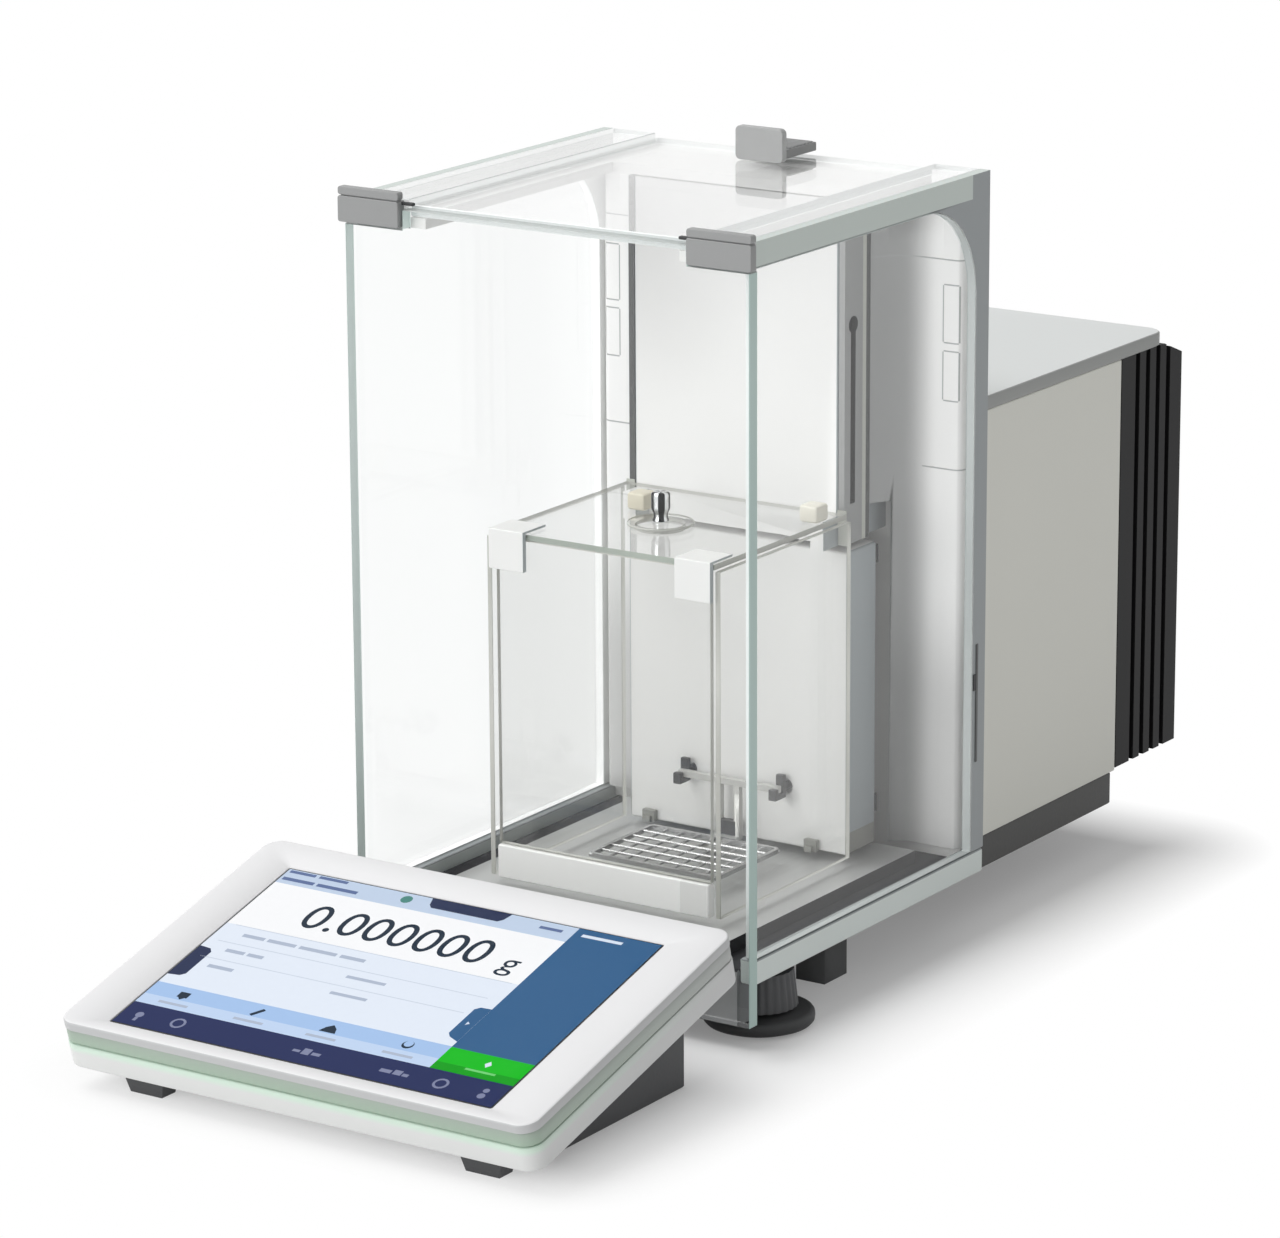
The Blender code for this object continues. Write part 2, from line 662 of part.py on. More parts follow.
for side, label in SIDES:
    bm = bmesh.new()
    prism(bm, bracket, "x", *span(side, box_half - CORNER_W, box_half))
    finish("inner_corner_" + label, bm, "white")
    clip_x = CLIP_LEFT_X if side < 0 else box_half - CLIP_HALF - GAP
    clip_y = tower_y - (CLIP_LEFT_SET if side < 0 else CLIP_RIGHT_SET)
    simple_box("top_clip_" + label, "clip_beige", clip_x - CLIP_HALF, clip_x + CLIP_HALF, clip_y - CLIP_L, clip_y,
               over, over + CLIP_H, 0.8)
    door = simple_box("inner_door_" + label, "glass", *span(side, inner_door_in, inner_door_out), inner_front,
                      tower_y - 2 * GAP, tray_top + INNER_CLEAR, inner_z0 - INNER_CLEAR)
    moves("inner_slide_" + label, (side * inner_door_in, inner_front, tray_top), [door])

# Round lid over the hole in the inner top pane, and its knob
lid_top = over + LID_T
plug = LID_HOLE_R - LID_PLUG_CLEAR
lid = lathe("lid_disc", "glass", [(0.0, lid_top), (LID_R, lid_top), (LID_R, over), (plug, over), (plug, inner_z0 + GAP),
                                  (0.0, inner_z0 + GAP)], (0.0, lid_y, 0.0), 28)
knob_z = lid_top + GAP
knob = lathe("lid_knob", "chrome",
             [(0.0, knob_z + KNOB_H), (KNOB_R - 0.8, knob_z + KNOB_H), (KNOB_R, knob_z + KNOB_H - 0.8),
              (KNOB_R, knob_z + KNOB_H - 6.0), (KNOB_R - 1.0, knob_z + 2.0), (KNOB_R - 0.6, knob_z), (0.0, knob_z)],
             (0.0, lid_y, 0.0), 20)
moves("lid_lift", (0.0, lid_y, over), [lid, knob])

# Grid pan: one plate with square openings
pan_y0 = pan_y1 - PAN_LEN
pan = simple_box("pan_grid", "steel", -PAN_HALF_W, PAN_HALF_W, pan_y0, pan_y1, pan_z0, pan_z1)
bm = bmesh.new()
cell_w = (2 * PAN_HALF_W - PAN_BAR * (PAN_CELLS_X + 1)) / PAN_CELLS_X
cell_d = (PAN_LEN - PAN_BAR * (PAN_CELLS_Y + 1)) / PAN_CELLS_Y
for i in range(PAN_CELLS_X):
    x0 = -PAN_HALF_W + PAN_BAR + i * (cell_w + PAN_BAR)
    for j in range(PAN_CELLS_Y):
        y0 = pan_y0 + PAN_BAR + j * (cell_d + PAN_BAR)
        box(bm, x0, x0 + cell_w, y0, y0 + cell_d, pan_z0 - PAN_T, pan_z1 + PAN_T)
cut(pan, finish("pan_cutter", bm, None))

# Hanger: a cross bar that lies in the hooks, two posts and a foot under the grid
hang_y0 = pan_y1 + HANGER_SET
hang_y1 = hang_y0 + HANGER_T
bar_z0 = arm_z - HANGER_BAR / 2
bar_z1 = arm_z + HANGER_BAR / 2
foot_z1 = pan_z0 - GAP
foot_z0 = foot_z1 - HANGER_FOOT_T
bar_x = ARM_X + 1.0
post_out = HANGER_POST_X + HANGER_BAR / 2
bm = bmesh.new()
half_hanger = [(bar_x, bar_z1), (bar_x, bar_z0), (post_out, bar_z0), (post_out, foot_z0)]
prism(bm, half_hanger + other_side(half_hanger)[::-1], "y", hang_y0, hang_y1)
hanger = finish("pan_hanger", bm, "steel")
bm = bmesh.new()
post_in = HANGER_POST_X - HANGER_BAR / 2
box(bm, -post_in, post_in, hang_y0 - HANGER_T, hang_y1 + HANGER_T, foot_z1, bar_z0)
cut(hanger, finish("hanger_cutter", bm, None))
bm = bmesh.new()
box(bm, -post_out + 0.1, post_out - 0.1, pan_y1 - HANGER_FOOT_L, hang_y0 + HANGER_T / 2, foot_z0 + 0.05, foot_z1)
cut(hanger, finish("hanger_foot", bm, None), "UNION")

# Load arms: hooks in front of the box, rods through it, a yoke and one rod to the cell
cell_y0 = housing_y0 + CELL_FRONT
pivot_y = cell_y0 + PIVOT_SET
lever_y0 = pivot_y - LEVER_NOSE
yoke_y = wall_y0 - YOKE_SET
hook_y = hang_y1 + GAP
bm = bmesh.new()
box(bm, -ARM_X - YOKE_HALF_H, ARM_X + YOKE_HALF_H, yoke_y, yoke_y + YOKE_T, arm_z - YOKE_HALF_H, arm_z + YOKE_HALF_H)
arms = finish("load_arms", bm, "dark_steel")
bm = bmesh.new()
cylinder(bm, ARM_R, (0.0, arm_z), yoke_y + YOKE_T / 2, lever_y0 - 2 * GAP, "y", 12)
cut(arms, finish("arm_rod", bm, None), "UNION")
under = bar_z0 - GAP
hook = [(hang_y0 - GAP - HOOK_T, under - HOOK_T), (hook_y + HOOK_T, under - HOOK_T), (hook_y + HOOK_T, arm_z + HOOK_RISE),
        (hook_y, arm_z + HOOK_RISE), (hook_y, under), (hang_y0 - GAP, under), (hang_y0 - GAP, arm_z + 0.5),
        (hang_y0 - GAP - HOOK_T, arm_z + 0.5)]
for side, label in SIDES:
    bm = bmesh.new()
    cylinder(bm, ARM_R, (side * ARM_X, arm_z), hook_y + HOOK_T / 2, yoke_y + YOKE_T / 2, "y", 12)
    cut(arms, finish("arm_" + label, bm, None), "UNION")
    bm = bmesh.new()
    prism(bm, hook, "x", side * ARM_X - HOOK_HALF_W, side * ARM_X + HOOK_HALF_W)
    cut(arms, finish("hook_" + label, bm, None), "UNION")
moves("pan_travel", (0.0, pan_y1, arm_z), [pan, hanger, arms])

# Front pane with corner notches for the door handles, and the frame that the top door runs on
front_half = pane_out + FRONT_LIP
bm = bmesh.new()
half_pane = [(front_half, apron_z + FRONT_SILL), (front_half, notch_z), (notch_x, notch_z), (notch_x, front_top)]
prism(bm, half_pane + other_side(half_pane)[::-1], "y", FRONT_Y, FRONT_Y + FRONT_GLASS_T)
finish("front_glass", bm, "glass")
frame_half = top_half - GAP / 3
bm = bmesh.new()
half_frame = [(frame_half, wall_y1), (frame_half, front), (frame_half - TOP_RAIL_W, front),
              (frame_half - TOP_RAIL_W, tower_y)]
prism(bm, half_frame + other_side(half_frame)[::-1], "z", frame_z0, frame_z1)
finish("top_frame", bm, "white")

# Side doors: a frame along the top and the back, the pane bonded into it, top strip and handle
door_front = front + GAP / 3
bar_z = door_top - DOOR_BAR_H
stile_y = shield_back - STILE_W


def gusset(radius):
    """The rounded corner where the frame's bar meets its stile, from the bar round to the stile."""
    turns = [math.radians(90.0 - 15.0 * k) for k in range(7)]
    return [(stile_y - GUSSET_R + radius * math.cos(a), bar_z - GUSSET_R + radius * math.sin(a)) for a in turns]


for side, label in SIDES:
    bm = bmesh.new()
    prism(bm, [(door_front, door_bottom), (door_front, bar_z - GAP)] + gusset(GUSSET_R - GAP)
          + [(stile_y - GAP, door_bottom)], "x", *span(side, pane_in, pane_out))
    glass = finish("door_glass_" + label, bm, "glass")
    bm = bmesh.new()
    prism(bm, [(door_front, bar_z)] + gusset(GUSSET_R) + [(stile_y, door_bottom), (shield_back, door_bottom),
                                                          (shield_back, door_top), (door_front, door_top)], "x",
          *span(side, pane_in, pane_out))
    frame = finish("door_frame_" + label, bm, "pale_rail")
    strip = simple_box("door_strip_" + label, "glass", *span(side, strip_in, pane_in - GAP), door_front,
                       shield_back, door_top - DOOR_STRIP_T, door_top)
    bm = bmesh.new()
    nose = FRONT_Y - HANDLE_NOSE
    stem_in = handle_in + HANDLE_STEM_IN
    outline = [(handle_in, nose), (handle_out, nose), (handle_out, nose + HANDLE_T), (pane_out, nose + HANDLE_T),
               (pane_out, door_front - GAP), (stem_in, door_front - GAP), (stem_in, nose + HANDLE_T),
               (handle_in, nose + HANDLE_T)]
    prism(bm, outline if side > 0 else other_side(outline), "z", handle_z0, handle_z0 + HANDLE_H)
    grip = finish("door_handle_" + label, bm, "handle_grey", 0.5)
    moves("door_slide_" + label, (side * pane_in, door_front, door_bottom), [glass, frame, strip, grip])

# Top door and its handle
pane = simple_box("top_glass", "glass", -top_half, top_half, door_front, shield_back, top_z0, top_z1)
bm = bmesh.new()
h0 = shield_back - TOP_HANDLE_SET
h1 = h0 + TOP_HANDLE_T
seat = top_z1 + GAP
prism(bm, [(h0, seat), (h1, seat), (h1, seat + TOP_TONGUE_Z), (h1 + TOP_TONGUE_L, seat + TOP_TONGUE_Z),
           (h1 + TOP_TONGUE_L, seat + TOP_TONGUE_Z + TOP_TONGUE_T), (h1, seat + TOP_TONGUE_Z + TOP_TONGUE_T),
           (h1, top_z1 + TOP_HANDLE_H), (h0, top_z1 + TOP_HANDLE_H)], "x", -TOP_HANDLE_HALF_W, TOP_HANDLE_HALF_W)
grip = finish("top_handle", bm, "handle_grey", 0.5)
moves("top_slide", (0.0, door_front, top_z0), [pane, grip])

# Housing: side covers, top cover, heat sink and plinth
for side, label in SIDES:
    simple_box("side_cover_" + label, "cover_paint", *span(side, side_in, side_out), housing_y0, housing_y1,
               side_z0, side_z1)
cover_y1 = sink_y0 + COVER_OVER
bm = bmesh.new()
outline = [point for point in rounded(-cover_half, cover_half, housing_y0, cover_y1, COVER_R)
           if point[1] > housing_y0 + COVER_R + GAP]
prism(bm, [(cover_half, housing_y0)] + outline + [(-cover_half, housing_y0)], "z", cover_z0, cover_z0 + TOP_COVER_T)
finish("top_cover", bm, "top_paint", 0.6)

bm = bmesh.new()
right_side = [(side_out, sink_y0)]
for k in range(int((SINK_DEPTH - GROOVE_FIRST - GROOVE - GAP) / GROOVE_PITCH) + 1):
    y = sink_y0 + GROOVE_FIRST + k * GROOVE_PITCH
    deep = side_out - GROOVE_DEPTH
    right_side += [(side_out, y - GROOVE / 2), (deep, y - GROOVE / 2), (deep, y + GROOVE / 2), (side_out, y + GROOVE / 2)]
right_side.append((side_out, sink_y1))
fins = []
most = int((side_out - FIN_SIDE) / FIN_PITCH)
for k in range(most, -most - 1, -1):
    x = k * FIN_PITCH
    fins += [(x + FIN_GAP / 2, sink_y1), (x + FIN_GAP / 2, sink_y1 - FIN_DEPTH), (x - FIN_GAP / 2, sink_y1 - FIN_DEPTH),
             (x - FIN_GAP / 2, sink_y1)]
sink_z0 = plinth_z1 + SINK_LIFT
sink_z1 = cover_z0 - GAP
prism(bm, right_side + fins + other_side(right_side)[::-1], "z", sink_z0, sink_z1)
sink = finish("heat_sink", bm, "sink_black")
bm = bmesh.new()
drop = SINK_DROP / (sink_y1 - cover_y1)
lead = COVER_R
prism(bm, [(cover_y1 - lead, sink_z1 + lead * drop), (sink_y1 + lead, sink_z1 - SINK_DROP - lead * drop),
           (sink_y1 + lead, sink_z1 + 2 * lead), (cover_y1 - lead, sink_z1 + 2 * lead)], "x", -side_out - 5, side_out + 5)
cut(sink, finish("slope_cutter", bm, None))

plinth_y1 = housing_y1 - PLINTH_SHORT
plinth_half = side_out - PLINTH_INSET
plinth = simple_box("plinth", "base_grey", -plinth_half, plinth_half, housing_y0, plinth_y1, plinth_z0, plinth_z1, 0.6)
socket_z = (plinth_z0 + plinth_z1) / 2
pocket = plinth_y1 - SOCKET_DEPTH
block_half = DATA_PITCH / 2 + DATA_HALF_W
bm = bmesh.new()
cylinder(bm, INLET_R + GAP, (INLET_X, socket_z), pocket - GAP, plinth_y1 + SOCKET_DEPTH, "y")
box(bm, DATA_X - block_half - GAP, DATA_X + block_half + GAP, pocket - GAP, plinth_y1 + SOCKET_DEPTH,
    socket_z - DATA_HALF_H - GAP, socket_z + DATA_HALF_H + GAP)
cut(plinth, finish("socket_cutter", bm, None))
lathe("dc_inlet", "black_plastic",
      [(0.0, SOCKET_DEPTH - 2.0), (INLET_PIN_R, SOCKET_DEPTH - 2.0), (INLET_PIN_R, SOCKET_DEPTH / 4),
       (INLET_BORE_R, SOCKET_DEPTH / 4), (INLET_BORE_R, SOCKET_DEPTH), (INLET_R, SOCKET_DEPTH), (INLET_R, 0.0), (0.0, 0.0)],
      (INLET_X, pocket, socket_z), 20, along_y=True)
sockets = simple_box("data_sockets", "steel", DATA_X - block_half, DATA_X + block_half, pocket, plinth_y1,
                     socket_z - DATA_HALF_H, socket_z + DATA_HALF_H)
bm = bmesh.new()
for side, label in SIDES:
    x = DATA_X + side * DATA_PITCH / 2
    box(bm, x - DATA_HALF_W + DATA_WALL, x + DATA_HALF_W - DATA_WALL, pocket + 2 * DATA_WALL, plinth_y1 + SOCKET_DEPTH,
        socket_z - DATA_HALF_H + DATA_WALL, socket_z + DATA_HALF_H - DATA_WALL)
cut(sockets, finish("data_cutter", bm, None))

# Weighing cell: base with pivot cheeks and a guide post, lever, coil and magnet
cell_y1 = sink_y0 - CELL_BACK
cell_z0 = plinth_z1 + GAP
cell_z1 = cell_z0 + CELL_T
weight_y = cell_y0 + WEIGHT_SET
lifter_z0 = arm_z + LIFTER_RISE
lifter_z1 = lifter_z0 + LIFTER_T
cheek_in = LEVER_HALF_W + GAP
cell = simple_box("cell_base", "aluminium", -CELL_HALF_W, CELL_HALF_W, cell_y0, cell_y1, cell_z0, cell_z1)
for side, label in SIDES:
    bm = bmesh.new()
    box(bm, *span(side, cheek_in, cheek_in + CHEEK_T), pivot_y - CHEEK_HALF_Y, pivot_y + CHEEK_HALF_Y,
        cell_z1 - CELL_T / 2, arm_z + CHEEK_RISE)
    cut(cell, finish("cheek_" + label, bm, None), "UNION")
bm = bmesh.new()
box(bm, GUIDE_X - GUIDE_HALF, GUIDE_X + GUIDE_HALF, weight_y - GUIDE_HALF, weight_y + GUIDE_HALF, cell_z1 - CELL_T / 2,
    lifter_z1 + GUIDE_OVER)
cut(cell, finish("guide_post", bm, None), "UNION")
bm = bmesh.new()
cylinder(bm, PIVOT_R + GAP, (pivot_y, arm_z), -cheek_in - 2 * CHEEK_T, cheek_in + 2 * CHEEK_T, "x", 16)
cut(cell, finish("pivot_bores", bm, None))

coil_y = cell_y1 - POT_BACK - POT_R
lever_z0 = arm_z - LEVER_H / 2
waist = LEVER_HALF_W - LEVER_WAIST
half_lever = [(LEVER_HALF_W, lever_y0), (LEVER_HALF_W, pivot_y + CHEEK_HALF_Y), (waist, pivot_y + 2 * CHEEK_HALF_Y),
              (waist, coil_y + LEVER_TAIL)]
bm = bmesh.new()
prism(bm, half_lever + other_side(half_lever)[::-1], "z", lever_z0, lever_z0 + LEVER_H)
pivot = (0.0, pivot_y, arm_z)
lever = finish("lever_beam", bm, "aluminium", origin=pivot)
bm = bmesh.new()
cylinder(bm, PIVOT_R, (pivot_y, arm_z), -cheek_in - CHEEK_T, cheek_in + CHEEK_T, "x", 16)
cut(lever, finish("pivot_pin", bm, None), "UNION")
pot_z = cell_z1 + GAP
coil_z0 = pot_z + POT_FLOOR + COIL_CLEAR
coil_top = lever_z0 - GAP
bore = COIL_R - COIL_WALL
coil = lathe("coil", "copper", [(bore, coil_top), (COIL_R, coil_top), (COIL_R, coil_z0), (bore, coil_z0)],
             (0.0, coil_y, 0.0), 24, ring=True)
moves("lever_turn", pivot, [lever, coil])
pot_top = lever_z0 - POT_DROP
ring_out = COIL_R + POT_CLEAR
ring_in = bore - POT_CLEAR
lathe("magnet_pot", "dark_steel",
      [(0.0, pot_top), (ring_in, pot_top), (ring_in, pot_z + POT_FLOOR), (ring_out, pot_z + POT_FLOOR),
       (ring_out, pot_top), (POT_R, pot_top), (POT_R, pot_z), (0.0, pot_z)], (0.0, coil_y, 0.0), 24)

# Built-in adjustment weight on its lifting plate, and the main board on the left cover
weight_z = lifter_z1 + GAP
weight = lathe("adjust_weight", "chrome",
               [(0.0, weight_z + WEIGHT_H), (WEIGHT_R - 1.0, weight_z + WEIGHT_H), (WEIGHT_R, weight_z + WEIGHT_H - 1.0),
                (WEIGHT_R, weight_z), (0.0, weight_z)], (0.0, weight_y, 0.0), 24)
lifter = simple_box("weight_lifter", "aluminium", -LIFTER_LEFT, GUIDE_X + GUIDE_HALF + LIFTER_RIM,
                    weight_y - LIFTER_HALF_Y, weight_y + LIFTER_HALF_Y, lifter_z0, lifter_z1)
bm = bmesh.new()
hole_half = GUIDE_HALF + GAP
box(bm, GUIDE_X - hole_half, GUIDE_X + hole_half, weight_y - hole_half, weight_y + hole_half, lifter_z0 - LIFTER_T,
    lifter_z1 + LIFTER_T)
cut(lifter, finish("guide_cutter", bm, None))
moves("weight_lift", (GUIDE_X, weight_y, lifter_z0), [weight, lifter])
board_out = side_in - GAP
simple_box("main_board", "board_green", -board_out, -board_out + BOARD_T, housing_y0 + BOARD_INSET,
           housing_y1 - BOARD_INSET, side_z0 + BOARD_LIFT, side_z0 + BOARD_LIFT + BOARD_H)


def tilted(name, bm, slot, bevel=0.0, segments=1, smooth=False):
    """Turn the flat terminal layout (x, u, n) into place."""
    angle = math.radians(TERM_TILT)
    place = Matrix.Translation(Vector((0.0, TERM_FRONT_Y, TERM_FRONT_Z)) * MM) @ Matrix.Rotation(angle, 4, "X")
    bmesh.ops.transform(bm, matrix=place, verts=bm.verts)
    return finish(name, bm, slot, bevel, segments, smooth)


def term_outline(inset):
    return rounded(-TERM_HALF_W + inset, TERM_HALF_W - inset, inset, TERM_LEN - inset, max(TERM_R - inset, 1.0))


# Terminal lower shell: a tray lofted between rounded outlines, with a chamfered sole
bm = bmesh.new()
rings = []
split = -TERM_UPPER - GAP
for inset, n in ((TERM_SOLE_INSET, -TERM_T), (0.0, -TERM_T + TERM_SOLE_H), (0.0, split), (TERM_WALL, split),
                 (TERM_WALL, -TERM_T + TERM_SOLE_H + TERM_WALL / 2),
                 (TERM_SOLE_INSET + TERM_WALL, -TERM_T + TERM_PLATE)):
    rings.append([bm.verts.new(Vector((x, u, n)) * MM) for x, u in term_outline(inset)])
bm.faces.new(rings[0])
bm.faces.new(rings[-1])
for ring, other in zip(rings, rings[1:]):
    for k in range(len(ring)):
        n = (k + 1) % len(ring)
        bm.faces.new((ring[k], ring[n], other[n], other[k]))
tilted("terminal_bottom_shell", bm, "term_white", smooth=True)


def light_outline(grow):
    """Strip along the front edge of the terminal that wraps both front corners."""
    wrap = LIGHT_WRAP + grow
    inset = LIGHT_DEPTH + grow
    outer = rounded(-TERM_HALF_W - grow, TERM_HALF_W + grow, -grow, TERM_LEN, TERM_R + grow)
    inner = rounded(-TERM_HALF_W + inset, TERM_HALF_W - inset, inset, TERM_LEN, max(TERM_R - inset, 1.0))
    outside = [p for p in outer if p[1] < TERM_LEN / 2]
    inside = [p for p in inner if p[1] < TERM_LEN / 2]
    return ([(-TERM_HALF_W - grow, wrap)] + outside + [(TERM_HALF_W + grow, wrap), (TERM_HALF_W - inset, wrap)]
            + inside[::-1] + [(-TERM_HALF_W + inset, wrap)])


light_n0 = -TERM_UPPER + GAP
bm = bmesh.new()
prism(bm, light_outline(0.0), "z", light_n0, light_n0 + LIGHT_H)
tilted("status_light", bm, "light_green")

# Upper shell: skirt, plate with the screen window, and room for the light strip
bm = bmesh.new()
prism(bm, term_outline(0.0), "z", -TERM_UPPER, 0.0)
upper = tilted("terminal_top_shell", bm, "term_white", bevel=1.2, smooth=True)
bm = bmesh.new()
prism(bm, term_outline(TERM_WALL), "z", -2 * TERM_UPPER, -TERM_PLATE)
cut(upper, tilted("skirt_cutter", bm, None))
screen_back = SCREEN_FRONT + SCREEN_LEN
bm = bmesh.new()
box(bm, -SCREEN_HALF_W - GAP, SCREEN_HALF_W + GAP, SCREEN_FRONT - GAP, screen_back + GAP, -TERM_UPPER, TERM_UPPER)
cut(upper, tilted("window_cutter", bm, None))
bm = bmesh.new()
prism(bm, light_outline(GAP), "z", -2 * TERM_UPPER, light_n0 + LIGHT_H + GAP)
cut(upper, tilted("light_cutter", bm, None))
bm = bmesh.new()
glass_n = -SCREEN_SINK - SCREEN_T
box(bm, -SCREEN_HALF_W, SCREEN_HALF_W, SCREEN_FRONT, screen_back, glass_n, -SCREEN_SINK)
tilted("touch_glass", bm, "screen")
bm = bmesh.new()
box(bm, -SCREEN_HALF_W + LCD_INSET, SCREEN_HALF_W - LCD_INSET, SCREEN_FRONT + LCD_INSET, screen_back - LCD_INSET,
    glass_n - GAP - LCD_T, glass_n - GAP)
tilted("lcd_module", bm, "lcd")

# Terminal stand with two front feet on arms, and a flat tie that reaches under the apron
tilt = math.radians(TERM_TILT)
under_y = TERM_FRONT_Y + TERM_T * math.sin(tilt)
under_z = TERM_FRONT_Z - TERM_T * math.cos(tilt) - GAP / math.cos(tilt)


def underside(y):
    return under_z + (y - under_y) * math.tan(tilt)


stand_y0 = TERM_FRONT_Y + STAND_FRONT
stand_y1 = TERM_FRONT_Y + TERM_LEN * math.cos(tilt) - STAND_BACK
top_y0 = stand_y0 - STAND_RAKE
bm = bmesh.new()
prism(bm, [(stand_y0, 0.0), (stand_y1, 0.0), (stand_y1, underside(stand_y1)), (top_y0, underside(top_y0))], "x",
      -STAND_HALF_W, STAND_HALF_W)
stand = finish("terminal_stand", bm, "stand_grey", 0.6)
bm = bmesh.new()
box(bm, -STAND_HALF_W + STAND_WALL, STAND_HALF_W - STAND_WALL, stand_y0 + STAND_WALL, stand_y1 - STAND_WALL, -5.0,
    underside(top_y0) - STAND_WALL)
cut(stand, finish("stand_cutter", bm, None))
toe_y0 = TERM_FRONT_Y + STAND_FOOT_Y
toe_y1 = toe_y0 + STAND_FOOT_L
arm_y1 = stand_y0 - STAND_RAKE / 4
for side, label in SIDES:
    bm = bmesh.new()
    prism(bm, [(toe_y0, 0.0), (toe_y1, 0.0), (toe_y1, underside(toe_y1) - STAND_ARM_T),
               (arm_y1, underside(arm_y1) - STAND_ARM_T), (arm_y1, underside(arm_y1) - 0.5), (toe_y0, underside(toe_y0))],
          "x", *span(side, STAND_FOOT_IN_X, STAND_FOOT_OUT_X))
    cut(stand, finish("stand_foot_" + label, bm, None), "UNION")
tie_z1 = apron_z - TIE_CLEAR
bm = bmesh.new()
box(bm, -TIE_HALF_W, TIE_HALF_W, stand_y1 - STAND_WALL / 2, front + TIE_REACH, tie_z1 - TIE_T, tie_z1)
cut(stand, finish("stand_tie", bm, None), "UNION")
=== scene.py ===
import json
import math
import bmesh
import bpy
from mathutils import Matrix, Vector

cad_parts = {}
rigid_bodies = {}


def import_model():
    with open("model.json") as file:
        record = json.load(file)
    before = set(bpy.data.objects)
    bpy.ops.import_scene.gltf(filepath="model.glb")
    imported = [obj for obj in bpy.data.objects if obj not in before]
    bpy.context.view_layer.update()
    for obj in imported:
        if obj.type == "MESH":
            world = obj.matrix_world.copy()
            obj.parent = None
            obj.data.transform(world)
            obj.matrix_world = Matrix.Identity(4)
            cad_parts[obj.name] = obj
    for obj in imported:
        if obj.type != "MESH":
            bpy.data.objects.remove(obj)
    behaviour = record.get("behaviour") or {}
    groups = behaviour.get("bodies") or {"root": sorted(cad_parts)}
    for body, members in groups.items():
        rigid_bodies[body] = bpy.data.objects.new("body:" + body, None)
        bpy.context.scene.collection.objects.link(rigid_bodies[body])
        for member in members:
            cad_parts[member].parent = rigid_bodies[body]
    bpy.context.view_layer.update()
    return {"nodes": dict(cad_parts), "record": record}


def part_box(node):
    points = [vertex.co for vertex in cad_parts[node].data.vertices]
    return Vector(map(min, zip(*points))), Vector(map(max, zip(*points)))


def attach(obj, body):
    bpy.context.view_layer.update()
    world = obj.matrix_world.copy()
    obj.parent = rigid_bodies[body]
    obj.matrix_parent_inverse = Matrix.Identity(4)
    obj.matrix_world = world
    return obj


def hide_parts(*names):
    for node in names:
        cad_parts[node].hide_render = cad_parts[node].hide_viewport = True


for old in list(bpy.data.objects):
    bpy.data.objects.remove(old)
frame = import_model()
nodes = frame["nodes"]
bodies = frame["record"]["behaviour"]["bodies"]
bodyOf = {node: body for body, members in bodies.items() for node in members}
slotOf = {row["node"]: row["material_slot"] for row in frame["record"]["subparts"]}
scene = bpy.context.scene
mm = 0.001
sides = ((1, "right"), (-1, "left"))

# A face looks along an axis when its normal has this share of it
mostly, partly = 0.7, 0.5
print("frame loaded")


# Colours are written as display values
def tone(red, green, blue):
    linear = [((c / 255 + 0.055) / 1.055) ** 2.4 if c > 10 else c / 3294.6 for c in (red, green, blue)]
    return (*linear, 1.0)


def fill(tree, made, values):
    for key, value in values.items():
        if isinstance(value, bpy.types.NodeSocket):
            tree.links.new(value, made.inputs[key])
        else:
            made.inputs[key].default_value = value


def add(tree, kind, inputs=None, prefix="ShaderNode", **settings):
    made = tree.nodes.new(prefix + kind)
    for key, value in settings.items():
        setattr(made, key, value)
    fill(tree, made, inputs or {})
    return made


# Short forms of the nodes that most materials use
def maths(tree, operation, *values):
    return add(tree, "Math", dict(enumerate(values)), operation=operation).outputs[0]


def vectors(tree, operation, *values):
    return add(tree, "VectorMath", dict(enumerate(values)), operation=operation).outputs[0]


def ramp(tree, value, ends, **settings):
    low, high = ends
    made = add(tree, "MapRange", {"Value": value, "From Min": low, "From Max": high}, **settings)
    return made.outputs["Result"]


def between(tree, share, first, last):
    return add(tree, "Mix", {"Factor": share, "A": first, "B": last}, data_type="RGBA").outputs[2]


def placeOn(tree):
    return add(tree, "TexCoord").outputs["Object"]


def noiseOn(tree, place, scale, detail):
    return add(tree, "TexNoise", {"Vector": place, "Scale": scale, "Detail": detail}).outputs["Fac"]


def group(name, wanted, given):
    tree = bpy.data.node_groups.new(name, "ShaderNodeTree")
    kinds = {"c": "NodeSocketColor", "f": "NodeSocketFloat", "v": "NodeSocketVector"}
    for way, rows in (("INPUT", wanted), ("OUTPUT", given)):
        for label, kind in rows.items():
            tree.interface.new_socket(label, in_out=way, socket_type=kinds[kind])
    return tree, tree.nodes.new("NodeGroupInput").outputs, tree.nodes.new("NodeGroupOutput")


# Moulded and painted skins: broad unevenness, fine grain in gloss and height
grainLook = {"broad": 11.0, "detail": 3.0, "fineShare": 0.45, "middle": 0.5}


